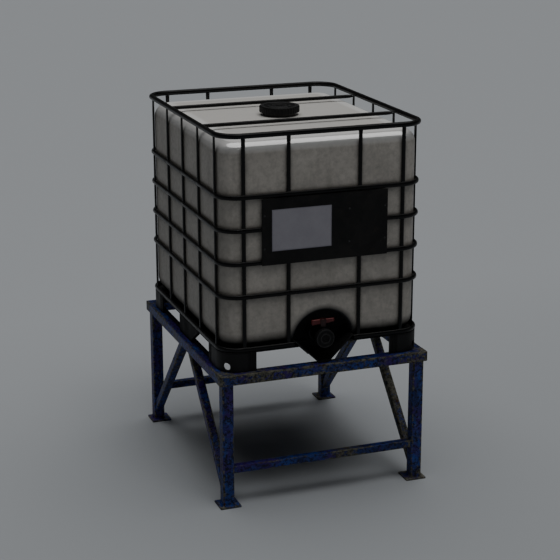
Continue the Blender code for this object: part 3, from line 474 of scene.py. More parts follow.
def bottle_look(post_x, post_y, levels, low, high):
    """Milky plastic with painted shade beside the cage's tubes, towards the floor of the tray, on the sides,
    round the neck and in the pocket.

    Its rounded upper edge and the flat band beside it carry a painted highlight, and they shine. low and high
    are its box.
    """
    look = Look("bottle_plastic_stains_and_painted_light")
    floor_level = low[2]
    x, y, z = look.parts(look.place)
    facing = look.facing()
    # Painted shade: darker bands on the walls beside the posts and under the rings, where the tubes shade the
    # bottle.
    beside_front = look.times(look.near(x, post_x, 0.030), look.abs(facing[1]))
    beside_side = look.times(look.near(y, post_y, 0.030), look.abs(facing[0]))
    under_rings = look.near(z, [level - 0.004 for level in levels], 0.032)
    tube_shade = look.most(look.most(beside_front, beside_side), under_rings)
    wall = look.span(facing[2], 0.35, 0.75, 1.0, 0.0)
    tube_shade = look.times(look.math("POWER", tube_shade, 1.7), wall)
    broken = look.span(look.noise(30.0, 4.0, 0.6), 0.25, 0.75, 0.65, 1.0)
    tube_shade = look.times(tube_shade, broken)
    # Painted shade: the walls darken towards the floor of the tray, where the bottle curves under.
    uneven = look.span(look.noise(12.0, 4.0), 0.3, 0.7, -0.05, 0.05)
    bottom_shade = look.plus(look.span(z, floor_level + 0.050, floor_level + 0.098, 1.0, 0.0), uneven, True)
    bottom_shade = look.times(bottom_shade, look.span(facing[2], 0.2, 0.5, 1.0, 0.0))
    # Painted shade: the valve pocket's recess is darkened.
    flat = look.node("ShaderNodeCombineXYZ", {0: x, 1: 0.0, 2: z}).outputs[0]
    span = look.node("ShaderNodeVectorMath", {0: flat, 1: (0.0, 0.0, POCKET_HEIGHT)}, operation="DISTANCE")
    pocket_shade = look.span(span.outputs["Value"], POCKET_RADIUS + 0.004, POCKET_RADIUS + 0.030, 1.0, 0.0)
    pocket_shade = look.times(pocket_shade, look.span(y, low[1] + 0.22, low[1] + 0.15, 0.0, 1.0))
    cloud = look.noise(7.0, 5.0, 0.6)
    mottle = look.noise(46.0, 5.0, 0.7)
    streak = look.noise(20.0, 4.0, 0.65, look.stretched(1.0, 1.0, 0.16))
    clean = look.mix(look.span(cloud, 0.35, 0.66), (0.520, 0.486, 0.442), (0.632, 0.592, 0.540))
    clean = look.mix(look.span(mottle, 0.42, 0.70, 0.0, 0.40), clean, (0.235, 0.222, 0.200))
    clean = look.mix(look.span(streak, 0.55, 0.72, 0.0, 0.20), clean, (0.205, 0.188, 0.160))
    # Painted shade: walls facing the sides, and all walls towards the bottom, are darkened.
    side_and_low_shade = look.span(look.abs(facing[0]), 0.55, 0.90, 0.02, 0.30)
    side_and_low_shade = look.plus(side_and_low_shade, look.span(z, floor_level, floor_level + 0.80, 0.14, 0.0))
    clean = look.mix(side_and_low_shade, clean, (0.120, 0.114, 0.102))
    # Painted highlight: faces turned up become nearly white on the rounded upper edge and the flat band along
    # it; only the middle of the flat top keeps a plastic tone.
    clean = look.mix(look.span(facing[2], 0.16, 0.66), clean, (0.97, 0.965, 0.95))
    brink_x = look.math("SUBTRACT", look.abs(x), high[0] - 0.105)
    brink_y = look.math("SUBTRACT", look.abs(y), high[1] - 0.105)
    brink = look.span(look.most(brink_x, brink_y), 0.0, 0.022, 1.0, 0.0)
    flat_top = look.times(look.span(facing[2], 0.93, 0.995), brink)
    clean = look.mix(flat_top, clean, look.mix(cloud, (0.78, 0.764, 0.730), (0.84, 0.822, 0.788)))
    # Painted shade beside the tubes, towards the floor of the tray, in the pocket and round the neck is mixed
    # in here and below.
    colour = look.mix(look.times(tube_shade, 0.86), clean, (0.034, 0.031, 0.026))
    colour = look.mix(look.times(bottom_shade, 0.99), colour, (0.004, 0.004, 0.004))
    colour = look.mix(look.times(pocket_shade, 0.99), colour, (0.040, 0.040, 0.042))
    # Painted shade: a dark ring round the foot of the neck, under the filling cap.
    out = look.node("ShaderNodeCombineXYZ", {0: x, 1: y, 2: 0.0}).outputs[0]
    away = look.node("ShaderNodeVectorMath", {0: out}, operation="LENGTH").outputs["Value"]
    neck_shade = look.times(look.span(away, 0.083, 0.092, 1.0, 0.0), look.span(z, 1.65, 1.69))
    colour = look.mix(look.times(neck_shade, 0.93), colour, (0.012, 0.012, 0.012))
    roughness = look.span(look.plus(look.plus(tube_shade, bottom_shade), pocket_shade), 0.0, 1.0, 0.34, 0.80)
    roughness = look.plus(roughness, look.span(mottle, 0.35, 0.7, -0.05, 0.10))
    relief = look.bump(look.noise(60.0, 3.0, 0.6), 0.12, 0.0010)
    relief = look.bump(look.noise(6.0, 2.0), 0.18, 0.006, relief)
    shine = look.times(look.span(facing[2], 0.30, 0.72), look.span(facing[2], 0.995, 0.950))
    look.feed(look.shader.inputs["Specular IOR Level"], look.span(shine, 0.0, 1.0, 0.08, 0.90))
    look.feed(look.shader.inputs["Coat Weight"], shine)
    return look.finish(colour, roughness, relief, Coat_Roughness=0.14, Coat_IOR=3.4)


def plate_look():
    """Black paint rubbed dull, with grey scuffs and a brown cast."""
    look = Look("plate_paint_scuffed")
    cloud = look.noise(11.0, 6.0, 0.68, twist=0.6)
    colour = look.mix(look.span(cloud, 0.38, 0.68), (0.0060, 0.0060, 0.0065), (0.0175, 0.0165, 0.0160))
    scratch = look.span(look.noise(90.0, 6.0, 0.8, look.stretched(1.0, 1.0, 0.35)), 0.60, 0.72)
    colour = look.mix(look.times(scratch, 0.40), colour, (0.050, 0.047, 0.043))
    brown = look.span(look.noise(22.0, 5.0, 0.7), 0.58, 0.72)
    colour = look.mix(look.times(brown, 0.35), colour, (0.032, 0.022, 0.015))
    roughness = look.span(cloud, 0.3, 0.7, 0.42, 0.66)
    relief = look.bump(look.noise(130.0, 4.0, 0.7), 0.30, 0.0005)
    relief = look.bump(cloud, 0.20, 0.003, relief)
    return look.finish(colour, roughness, relief, Specular_IOR_Level=0.22)


def label_look(low, high):
    """A faded lilac-grey film, darker round its rim."""
    look = Look("label_film_faded")
    x, _, z = look.parts(look.place)
    rim = look.most(look.near(x, (low[0], high[0]), 0.007), look.near(z, (low[2], high[2]), 0.007))
    cloud = look.noise(13.0, 5.0, 0.62)
    colour = look.mix(look.span(cloud, 0.35, 0.68), (0.345, 0.332, 0.378), (0.392, 0.378, 0.426))
    specks = look.span(look.noise(240.0, 2.0), 0.66, 0.74)
    colour = look.mix(look.times(specks, 0.4), colour, (0.12, 0.115, 0.13))
    colour = look.mix(look.times(rim, 0.45), colour, (0.115, 0.112, 0.165))
    relief = look.bump(look.noise(90.0, 3.0), 0.12, 0.0004)
    return look.finish(colour, look.span(cloud, 0.3, 0.7, 0.50, 0.66), relief)


def handle_look():
    """Red plastic with a painted highlight on top, and painted shade underneath, low down and round the hub.
    """
    look = Look("handle_plastic_red")
    up = look.facing()[2]
    cloud = look.noise(60.0, 4.0, 0.6)
    colour = look.mix(look.span(cloud, 0.35, 0.7), (0.085, 0.006, 0.008), (0.130, 0.010, 0.012))
    # Painted highlight on faces turned up and painted shade on faces turned down.
    colour = look.mix(look.span(up, 0.2, 0.8, 0.0, 0.75), colour, (0.34, 0.085, 0.085))
    colour = look.mix(look.span(up, -0.6, -0.1, 0.6, 0.0), colour, (0.015, 0.003, 0.003))
    across, _, height = look.parts(look.place)
    # Painted shade: the handle darkens below a set height, under the wings.
    grime_and_shade = look.span(height, HANDLE_SHADE_HEIGHT, HANDLE_SHADE_HEIGHT + 0.008, 0.96, 0.0)
    colour = look.mix(grime_and_shade, colour, (0.006, 0.005, 0.005))
    # Painted shade: the hub, inside its radius, is darkened.
    hub = look.span(look.abs(across), HANDLE_HUB_RADIUS, HANDLE_HUB_RADIUS + 0.0008, 0.85, 0.0)
    colour = look.mix(hub, colour, (0.020, 0.004, 0.004))
    relief = look.bump(look.noise(300.0, 2.0), 0.25, 0.0004)
    return look.finish(colour, look.span(cloud, 0.3, 0.7, 0.34, 0.52), relief)


def ringed_look(name, across, centre, radii, reach, light):
    """Black plastic whose raised rings, at radii from the centre in a plane, are rubbed grey, partly as a
    painted highlight on the rims.
    """
    look = Look(name)
    flat = look.node("ShaderNodeVectorMath", {0: look.place, 1: across}, operation="MULTIPLY").outputs[0]
    span = look.node("ShaderNodeVectorMath", {0: flat, 1: centre}, operation="DISTANCE")
    # Grey on the raised rings: rubbing, and also a painted highlight there.
    rubbed = look.near(span.outputs["Value"], radii, reach)
    cloud = look.noise(70.0, 4.0, 0.6)
    rubbed = look.times(rubbed, look.span(cloud, 0.3, 0.6, 0.4, 1.0))
    colour = look.mix(cloud, (0.0025, 0.0025, 0.0028), (0.0060, 0.0060, 0.0065))
    colour = look.mix(rubbed, colour, light)
    relief = look.bump(cloud, 0.2, 0.0003)
    return look.finish(colour, look.span(cloud, 0.3, 0.7, 0.42, 0.60), relief, Specular_IOR_Level=0.25)


def rubber_look():
    look = Look("seal_rubber_grey")
    cloud = look.noise(120.0, 3.0)
    colour = look.mix(cloud, (0.016, 0.016, 0.016), (0.040, 0.040, 0.039))
    return look.finish(colour, look.span(cloud, 0.3, 0.7, 0.70, 0.85), look.bump(cloud, 0.3, 0.0004))


def floor_look():
    """Pale grey, with painted shade making it a little darker on the near side."""
    look = Look("studio_floor")
    # Painted shade: the floor darkens towards the near side.
    depth = look.span(look.parts(look.place)[1], -2.2, 2.4)
    colour = look.mix(depth, (0.425, 0.450, 0.475), (0.535, 0.562, 0.592))
    colour = look.mix(look.span(look.noise(0.35, 2.0), 0.3, 0.7, 0.0, 0.03), colour, (0.60, 0.62, 0.64))
    return look.finish(colour, 0.85, Specular_IOR_Level=0.15)


# ---------------------------------------------------------------- stand


def wear_patch(point, centres):
    """How bare the paint is at a point, from patches given as (place, reach, amount)."""
    return max(
        (amount * max(0.0, 1.0 - math.dist(point, place) / reach) for place, reach, amount in centres),
        default=0.0,
    )


def make_legs(look):
    for corner, (side_x, side_y) in CORNERS.items():
        node = f"stand_leg_{corner}"
        low, high = box(node)
        points = corners_of(node)
        shank = points[points[:, 2] > 0.1]
        (x, y, _), half = (shank.min(0) + shank.max(0)) / 2, (shank[:, 0].max() - shank[:, 0].min()) / 2
        plate_top, top = np.unique(points[:, 2].round(5))[1], high[2]
        shape = Shape()
        bar(
            shape, (x, y, plate_top - 0.002), (x, y, top), X_AXIS, (half, half), TUBE_CORNER,
            worn=[((x, y, plate_top), 0.10, 0.30)], rows=20,
        )
        middle, size = (low + high) / 2, (high - low) / 2
        rows, wear, rim = [], [], 0.0014
        for inset, z, value in (
            (rim, 0, 1), (0, rim, 1), (0, plate_top - rim, 1), (rim, plate_top, 1), (0.008, plate_top, 0.55)
        ):
            loop = rectangle_loop(size[0] - inset, size[1] - inset, 0.004, (10, 10), 4)
            rows.append(lifted(loop + middle[:2], z))
            wear.append(np.full(len(loop), value + 0.5))
        shape.skin(rows, wear)
        seam = rectangle_loop(half + 0.0005, half + 0.0005, TUBE_CORNER, per_corner=4)
        bead(shape, seam, (x, y, plate_top), X_AXIS, Y_AXIS, 0.0032, side_x + 3 * side_y)
        seam = rectangle_loop(half - 0.0015, half - 0.0015, TUBE_CORNER, per_corner=4)
        bead(shape, seam, (x, y, top - 0.0015), X_AXIS, Y_AXIS, 0.0024, side_x - side_y)
        shape.piece(f"leg_{corner}", look, "stand_paint", ROOT, node)


def make_beams(look):
    patches = {
        "front": [
            ((-0.30, -0.6185, 0.62), 0.50, 0.80), ((-0.02, -0.6185, 0.62), 0.24, 0.42),
            ((0.5, -0.6, 0.645), 0.16, 0.45), ((0.30, -0.6185, 0.62), 0.30, 0.45),
        ],
        "rear": [((0.2, 0.6185, 0.62), 0.40, 0.40)],
        "left": [((-0.512, -0.45, 0.62), 0.30, 0.25), ((-0.512, 0.2, 0.62), 0.25, 0.15)],
        "right": [((0.512, -0.2, 0.62), 0.40, 0.35)],
    }
    for name, centres in patches.items():
        node = f"stand_beam_{name}"
        low, high = box(node)
        middle, half = (low + high) / 2, (high - low) / 2
        along = 0 if name in ("front", "rear") else 1
        side = 1 - along
        ends = np.array((middle, middle))
        ends[:, along] = low[along], high[along]
        shape = Shape()
        bar(shape, *ends, (X_AXIS, Y_AXIS)[side], (half[side], half[2]), TUBE_CORNER, worn=centres, rows=40)
        if along == 1:
            seam = rectangle_loop(half[0] - 0.002, half[2] - 0.002, TUBE_CORNER, per_corner=4)
            for end, seed in zip(ends, (1, 2)):
                bead(shape, seam, end, X_AXIS, Z_AXIS, 0.0022, seed + middle[0])
        shape.piece(f"beam_{name}", look, "stand_paint", ROOT, node)


def make_rails(look):
    for name in ("front", "rear"):
        node = f"stand_rail_{name}"
        low, high = box(node)
        (_, y, z), half = (low + high) / 2, (high - low) / 2
        centres = [((0.12, y, z), 0.09, 0.34), ((high[0], y, z), 0.12, 0.50)]
        ends = (low[0], y, z), (high[0], y, z)
        shape = Shape()
        bar(shape, *ends, Y_AXIS, (half[1], half[2]), SLIM_CORNER, worn=centres, rows=30)
        seam = rectangle_loop(half[1], half[2], SLIM_CORNER, per_corner=4)
        for end, seed in ((low[0] + 0.001, 5), (high[0] - 0.001, 6)):
            bead(shape, seam, (end, y, z), Y_AXIS, Z_AXIS, 0.0024, seed)
        shape.piece(f"rail_{name}", look, "stand_paint", ROOT, node)


def make_braces(look):
    amounts = {"front_left": 0.45, "front_right": 0.95, "rear_left": 0.30, "rear_right": 0.30}
    for corner, (side_x, _) in CORNERS.items():
        node = f"stand_brace_{corner}"
        points = corners_of(node)
        low, high = points.min(0), points.max(0)
        foot_y = points[np.abs(points[:, 1]).argmax(), 1]
        foot = points[np.abs(points[:, 1] - foot_y) < 1e-5][:, 2]
        head = points[np.abs(points[:, 2] - high[2]) < 1e-5][:, 1]
        x, half = (low[0] + high[0]) / 2, (high[0] - low[0]) / 2
        start = (x, foot_y, (foot.min() + foot.max()) / 2)
        end = (x, (head.min() + head.max()) / 2, high[2])
        places = [np.array(start) * (1 - t) + np.array(end) * t for t in (0.15, 0.55, 0.9)]
        centres = [(place, 0.36, amounts[corner]) for place in places]
        shape = Shape()
        bar(shape, start, end, X_AXIS, (half, half), SLIM_CORNER, (Y_AXIS, Z_AXIS), centres, rows=24)
        seam = rectangle_loop(half, (foot.max() - foot.min()) / 2 - 0.001, SLIM_CORNER, per_corner=4)
        bead(shape, seam, start, X_AXIS, Z_AXIS, 0.0024, side_x + 7)
        seam = rectangle_loop(half, (head.max() - head.min()) / 2 - 0.001, SLIM_CORNER, per_corner=4)
        bead(shape, seam, (end[0], end[1], end[2] - 0.001), X_AXIS, Y_AXIS, 0.0024, side_x + 9)
        shape.piece(f"brace_{corner}", look, "stand_paint", ROOT, node)


# ---------------------------------------------------------------- pallet


def cut_from(obj, name, mesh, sharp=None):
    """Takes a mesh out of an object's mesh; sharp is the angle of the edges to keep hard afterwards."""
    other = link(name, mesh)
    modifier = obj.modifiers.new(name, "BOOLEAN")
    modifier.operation = "DIFFERENCE"
    modifier.object = other
    modifier.solver = "EXACT"
    graph = bpy.context.evaluated_depsgraph_get()
    made = bpy.data.meshes.new_from_object(obj.evaluated_get(graph))
    obj.modifiers.clear()
    look = obj.data.materials[0]
    obj.data = made
    made.materials.clear()
    made.materials.append(look)
    bpy.data.objects.remove(other)
    if sharp:
        made.set_sharp_from_angle(angle=math.radians(sharp))


def make_deck(look):
    """A thin rim with rounded lips, sloping in to the tray's floor, notched for the guard."""
    low, high = box("pallet_deck")
    half, lip = (high - low)[:2] / 2, high[2]
    rim_low, tray = box("pallet_foot_front_left")[1][2] + 0.0003, box("bottle")[0][2] - 0.0003
    profile = [
        (0.120, low[2]), (0.0644, low[2]), (0.018, rim_low), (0.0, rim_low), (0.0, lip), (0.0205, lip),
        (0.0655, tray), (0.120, tray),
    ]
    rows = []
    for inset, z in softened(profile, 0.0045, 4):
        corner = max(PALLET_CORNER - inset, 0.012)
        rows.append(lifted(rectangle_loop(half[0] - inset, half[1] - inset, corner, (30, 36), 12), z))
    deck = Shape(rows).piece("pallet_rim_and_tray", look, "pallet_plastic", ROOT, "pallet_deck")
    guard_low, guard_high = box("pallet_valve_guard")
    edge, spill = 0.0006, 0.05
    slope = (guard_high[2] - guard_low[2]) / (guard_high[0] - GUARD_FLOOR_HALF)
    wide, top = guard_high[0] + edge, guard_high[2]
    narrow = wide - (top - rim_low + spill) / slope
    outline = [(-wide, top + spill), (-wide, top), (-narrow, rim_low - spill)]
    outline += [(-x, z) for x, z in outline[::-1]]
    notch = Shape()
    notch.skin([[(x, y, z) for x, z in outline] for y in (guard_low[1] - spill, guard_high[1] + edge)])
    cut_from(deck, "valve_notch", notch.mesh("notch"), SHARP_ANGLE)


def make_feet(look):
    """Bent walls with upright flutes towards their ends and a rounded hole through the bend."""
    half = box("pallet_deck")[1][:2]
    wall, flute, hole_radius, hole_height = 0.010, 0.0026, 0.018, 0.672
    centre_x, centre_y = half - PALLET_CORNER

    def fluted(start, stop, end):
        """Places along a straight wall with how deep its surface is cut there, near the wall's end."""
        for place in np.linspace(start, stop, 60):
            gap = abs(place - end)
            yield place, flute if 0.006 < gap < 0.038 and (gap // 0.004) % 2 else 0.0

    def bend(radius, angles):
        for angle in np.radians(angles):
            yield centre_x + radius * math.cos(angle), centre_y + radius * math.sin(angle)

    for name, (side_x, side_y) in CORNERS.items():
        node = f"pallet_foot_{name}"
        low, high = box(node)
        end_x, end_y = half - (high - low)[:2]
        outline = [(half[0] - cut, y) for y, cut in fluted(end_y, centre_y, end_y)]
        outline += bend(PALLET_CORNER, np.linspace(0, 90, 17)[1:-1])
        outline += [(x, half[1] - cut) for x, cut in fluted(centre_x, end_x, end_x)]
        inner = bend(PALLET_CORNER - wall, np.linspace(90, 0, 17))
        outline += [(end_x, half[1] - wall), *inner, (half[0] - wall, end_y)]
        outline = np.array([(side_x * x, side_y * y) for x, y in outline])
        centre = outline.mean(0)
        rows, (bottom, top), edge = [], (low[2], high[2]), 0.0012
        for shrink, z in ((0.0010, bottom), (0.0, bottom + edge), (0.0, top - edge), (0.0010, top)):
            rows.append(lifted(outline + (centre - outline) * shrink, z))
        foot = Shape(rows).piece(f"foot_{name}", look, "pallet_plastic", ROOT, node, sharp=30)
        reach = PALLET_CORNER * math.sqrt(0.5)
        middle = (side_x * (centre_x + reach), side_y * (centre_y + reach), hole_height)
        turn = Matrix.Rotation(math.radians(45) * side_x * side_y, 4, "Z")
        place = Matrix.Translation(middle) @ (turn @ Matrix.Rotation(math.pi / 2, 4, "Y"))
        drill = Shape()
        turned(drill, [(hole_radius, -0.04), (hole_radius, 0.04)], 48, place=place)
        cut_from(foot, "foot_hole", drill.mesh("drill"), 30)


def make_runners(look):
    """The CAD's runners with their edges rounded."""
    for name in ("left", "middle", "right"):
        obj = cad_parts[f"pallet_runner_{name}"]
        obj.data.materials.clear()
        obj.data.materials.append(look)
        weld = obj.modifiers.new("weld", "WELD")
        weld.merge_threshold = 0.0001
        bevel = obj.modifiers.new("bevel", "BEVEL")
        bevel.width = 0.0025
        bevel.segments = 3
        bevel.limit_method = "ANGLE"
        bevel.angle_limit = math.radians(30)
        bevel.harden_normals = False


def make_guard(look):
    """A V-shaped trough with rolled lips and a low wall across its back."""
    low, high = box("pallet_valve_guard")
    floor, top_half, floor_half, wall, back_top = low[2], high[0], GUARD_FLOOR_HALF, 0.006, 0.720
    lean = (high[2] - floor) / (top_half - floor_half)
    run = wall * math.hypot(1.0, lean) / lean
    side = softened([
        (floor_half, floor), (top_half, high[2]), (top_half - run, high[2]),
        (floor_half + wall / lean - run, floor + wall),
    ], 0.002, 3)
    right = [np.array((0.0, floor))] + side + [np.array((0.0, floor + wall))]
    left = [point * np.array((-1, 1)) for point in right[::-1]]
    outline = np.array(right + left[1:-1])
    rows, centre = [], outline.mean(0)
    for shrink, y in ((0.006, low[1]), (0.0, low[1] + 0.0014), (0.0, high[1] - 0.0014), (0.006, high[1])):
        ring = outline + (centre - outline) * shrink
        rows.append(stack(ring[:, 0], y, ring[:, 1]))
    shape = Shape(rows)
    back_low = floor + wall / 2
    back_half = floor_half + (back_top - floor) / lean - run / 2
    back = [(-floor_half, back_low), (floor_half, back_low), (back_half, back_top), (-back_half, back_top)]
    shape.skin([[(x, y, z) for x, z in back] for y in (high[1] - 1.5 * wall, high[1] - wall / 2)])
    shape.piece("valve_guard_trough", look, "pallet_plastic", ROOT, "pallet_valve_guard")


# ---------------------------------------------------------------- cage


def dense_loop(half_x, half_y, corner, step=0.009):
    sides = (round(2 * (half_x - corner) / step), round(2 * (half_y - corner) / step))
    return rectangle_loop(half_x, half_y, corner, sides, 14)


def post_sites():
    """Name ending, box and facing of every upright post."""
    for face, count in (("front", 4), ("rear", 4), ("left", 5), ("right", 5)):
        for number in range(1, count + 1):
            yield f"{face}_{number}", box(f"cage_post_{face}_{number}"), "Y" if count == 4 else "X"


def make_cage(look):
    """The rings, posts and cross bars; returns the heights of the rings from the top one down."""
    posts = [((low + high) / 2)[:2] for _, (low, high), _ in post_sites()]

    def at_post(point):
        """1 where a ring crosses a post, fading out beside it."""
        gap = min(math.dist(point, post) for post in posts)
        return max(0.0, 1.0 - max(0.0, gap - 0.008) / 0.014)

    loop = dense_loop(CAGE_HALF_X, CAGE_HALF_Y, CAGE_CORNER)
    low, high = box("cage_top_ring")
    radius = (high[2] - low[2]) / 2
    shape = Shape()
    ring_tube(shape, loop, (low[2] + high[2]) / 2, radius, radius, sides=20)
    shape.piece("top_ring_tube", look, "cage_coating", ROOT, "cage_top_ring")
    levels = []
    for name in ("ring_1", "ring_2", "ring_3", "ring_4", "base_ring"):
        low, high = box(f"cage_{name}")
        levels.append((low[2] + high[2]) / 2)
        path, closed = loop, name != "base_ring"
        if not closed:
            front = int(np.hypot(loop[:, 0], loop[:, 1] + CAGE_HALF_Y).argmin())
            turned = np.roll(loop, -front, axis=0)
            kept = [(x, y) for x, y in turned if y > 0 or abs(x) > BASE_RING_END + 0.004]
            path = np.array([(BASE_RING_END, -CAGE_HALF_Y), *kept, (-BASE_RING_END, -CAGE_HALF_Y)])
        shape = Shape()
        ring_tube(shape, path, levels[-1], RING_HALF_DEPTH, RING_HALF_HEIGHT, closed, at_post)
        shape.piece(f"{name}_tube", look, "cage_coating", ROOT, f"cage_{name}")
    angles = np.linspace(0, math.tau, 16, endpoint=False)
    for ending, (low, high), facing in post_sites():
        middle, bottom, top = (low + high) / 2, low[2], high[2]
        crossings = [level + np.linspace(-0.024, 0.024, 9) for level in levels]
        heights = np.unique(np.concatenate([np.linspace(bottom, top, 24), *crossings]))
        rows = []
        for z in heights[(heights >= bottom) & (heights <= top)]:
            gap = min(abs(z - level) for level in levels)
            press = max(0.0, 1.0 - max(0.0, gap - RING_HALF_HEIGHT) / 0.010)
            foot = max(0.0, 1.0 - (z - bottom) / 0.012, 1.0 - (top - z) / 0.012)
            wide = POST_HALF_WIDTH * (1 + 0.10 * press + 0.12 * foot)
            deep = POST_HALF_DEPTH * (1 - 0.12 * press - 0.15 * foot)
            across, inwards = (wide, deep) if facing == "Y" else (deep, wide)
            x, y = middle[0] + across * np.cos(angles), middle[1] + inwards * np.sin(angles)
            rows.append(stack(x, y, z))
        Shape(rows).piece(f"post_{ending}_tube", look, "cage_coating", ROOT, f"cage_post_{ending}")
    for name in ("front", "rear"):
        low, high = box(f"cage_top_bar_{name}")
        middle, radius = (low + high) / 2, (high[2] - low[2]) / 2
        start, stop, tip = low[0], high[0], np.linspace(0, 0.04, 8)
        rows = []
        for x in np.unique(np.concatenate([np.linspace(start, stop, 20), start + tip, stop - tip])):
            flat = max(0.0, 1.0 - (x - start) / 0.03, 1.0 - (stop - x) / 0.03)
            tall, deep = radius * (1 - 0.35 * flat ** 2), radius * (1 + 0.18 * flat ** 2)
            y, z = middle[1] + deep * np.cos(angles), middle[2] + tall * np.sin(angles)
            rows.append(stack(x, y, z))
        Shape(rows).piece(f"top_bar_{name}_tube", look, "cage_coating", ROOT, f"cage_top_bar_{name}")
    return levels


def buckle(x, z):
    """How far the thin plate stands out between its fixings."""
    return 0.0009 * (0.5 + 0.5 * noise.noise(Vector((x * 7.0, 0.0, z * 9.0))))


def panel(name, look, slot, node, edge_width, step=0.009):
    """A thin sheet with a slight buckle, rounded at its rim; returns the corners of its CAD node."""
    low, high = box(node)
    columns, lines = (max(2, round((high[i] - low[i]) / step)) for i in (0, 2))
    shape = Shape()
    rows = []
    for z in np.linspace(low[2], high[2], lines + 1):
        rows.append([(x, high[1] - buckle(x, z), z) for x in np.linspace(low[0], high[0], columns + 1)])
    shape.skin(rows, looped=False, caps=False)
    sheet = shape.piece(name, look, slot, ROOT, node)
    if sheet.data.polygons[0].normal.y > 0:
        sheet.data.flip_normals()
    solid = sheet.modifiers.new("thickness", "SOLIDIFY")
    solid.thickness = high[1] - low[1]
    solid.offset = 1.0
    edge = sheet.modifiers.new("edge", "BEVEL")
    edge.width = edge_width
    edge.segments = 2
    edge.limit_method = "ANGLE"
    edge.angle_limit = math.radians(50)
    return low, high


def make_plate(plate, label, steel):
    low, high = panel("label_plate_sheet", plate, "plate_paint", "label_plate", 0.0004)
    panel("label_film", label, "label_film", "label_panel", 0.00015)
    shape = Shape()
    dome = [(0.0001, 0.0022), (0.0028, 0.0018), (0.0046, 0.0006), (0.0050, -0.0008)]
    for x in (-0.290, 0.116, 0.290):
        for z in (high[2] - 0.0765, low[2] + 0.0765):
            turned(shape, dome, 20, place=lathe_y((x, low[1] - buckle(x, z), z)))
    shape.piece("plate_rivets", steel, "plate_paint", ROOT)


# ---------------------------------------------------------------- bottle


def bulge(value, stops):
    """0 on the stops and 1 half way between two of them."""
    for a, b in zip(stops, stops[1:]):
        if a <= value <= b:
            s = (value - a) / (b - a)
            return 1.0 - (2 * s - 1) ** 4
    return 0.0


def make_bottle(levels):
    """The blown shell with its neck, valve pocket and outlet boss; levels are the rings' heights."""
    low, high = box("bottle")
    half, floor, neck_top, top = high[:2], low[2], high[2], BOTTLE_TOP
    side, bottom_round, top_round = 0.100, 0.090, 0.060
    posts = [((a + b) / 2, facing) for _, (a, b), facing in post_sites()]
    post_x = sorted({round(float(middle[0]), 4) for middle, facing in posts if facing == "Y"})
    post_y = sorted({round(float(middle[1]), 4) for middle, facing in posts if facing == "X"})
    stops_x = [-half[0] + side, *post_x, half[0] - side]
    stops_y = [-half[1] + side, *post_y[1:-1], half[1] - side]
    stops_z = sorted([floor + bottom_round, *levels[-2::-1], top - top_round])
    step = 0.012
    counts = (round(2 * (half[0] - side) / step), round(2 * (half[1] - side) / step))

    def loop(inset):
        return rectangle_loop(half[0] - inset, half[1] - inset, max(side - inset, 0.030), counts, 12)

    rows = []
    for angle in np.radians(np.linspace(-90, 0, 12)):
        inset = bottom_round * (1 - math.cos(angle))
        rows.append(lifted(loop(inset), floor + bottom_round * (1 + math.sin(angle))))
    wall_low, wall_high = floor + bottom_round, top - top_round
    for z in np.linspace(wall_low, wall_high, round((wall_high - wall_low) / step) + 1)[1:-1]:
        row = loop(0.0)
        for i, (x, y) in enumerate(row):
            if abs(abs(y) - half[1]) < 1e-6:
                row[i, 1] += math.copysign(0.0022 * bulge(x, stops_x) * bulge(z, stops_z), y)
            elif abs(abs(x) - half[0]) < 1e-6:
                row[i, 0] += math.copysign(0.0022 * bulge(y, stops_y) * bulge(z, stops_z), x)
        rows.append(lifted(row, z))
    rim, brow = top - 0.0015, 0.062
    for angle in np.radians(np.linspace(0, 90, 12)):
        inset = brow * (1 - math.cos(angle))
        rows.append(lifted(loop(inset), rim - top_round + top_round * math.sin(angle)))
    for inset, z in ((0.070, rim + 0.0001), (0.084, rim + 0.0008), (BOTTLE_PANEL_INSET, top)):
        rows.append(lifted(loop(inset), z))
    panel_loop = loop(BOTTLE_PANEL_INSET)
    angles = np.arctan2(panel_loop[:, 1], panel_loop[:, 0])
    circle = np.column_stack([np.cos(angles), np.sin(angles)])
    neck, bore, root, bore_end = 0.080, 0.075, 0.098, 1.600
    for t in np.linspace(0, 1, 14)[1:]:
        rows.append(lifted(panel_loop * (1 - t) + circle * root * t, top))
    profile = [(root, top), (neck, top + 0.0005), (neck, neck_top), (bore, neck_top), (bore, bore_end)]
    for radius, z in softened(profile, 0.0035, 4)[1:]:
        rows.append(lifted(circle * radius, z))
    shape = Shape(rows)
    look = bottle_look(post_x, post_y, levels, low, high)
    bottle = shape.piece("bottle_shell", look, "bottle_plastic", ROOT, "bottle")
    lip, front = 0.010, low[1] - 0.0022
    flare = POCKET_RADIUS + lip
    profile = [(flare, 0.06)]
    for angle in np.radians(np.linspace(0, 90, 7)):
        profile.append((flare - lip * math.sin(angle), -lip + lip * math.cos(angle)))
    depth = front - POCKET_BACK
    profile += softened([(POCKET_RADIUS, -lip - 0.001), (POCKET_RADIUS, depth), (0.002, depth)], 0.022, 6)[1:]
    cutter = Shape()
    turned(cutter, profile, 96, place=lathe_y((0.0, front, POCKET_HEIGHT)))
    cut_from(bottle, "valve_pocket", cutter.mesh("pocket"))
    boss = Shape()
    ring = softened([(0.026, 0.0), (0.026, 0.032), (0.036, 0.032), (0.036, 0.0)], 0.002)
    turned(boss, ring, 64, True, place=lathe_y((0.0, POCKET_BACK + 0.002, OUTLET_HEIGHT)))
    joined = bmesh.new()
    joined.from_mesh(bottle.data)
    joined.from_mesh(boss.mesh("boss"))
    joined.to_mesh(bottle.data)
    joined.free()
    bottle.data.shade_smooth()
    bottle.data.set_sharp_from_angle(angle=math.radians(40))
    weighted = bottle.modifiers.new("even_shading", "WEIGHTED_NORMAL")
    weighted.keep_sharp = True


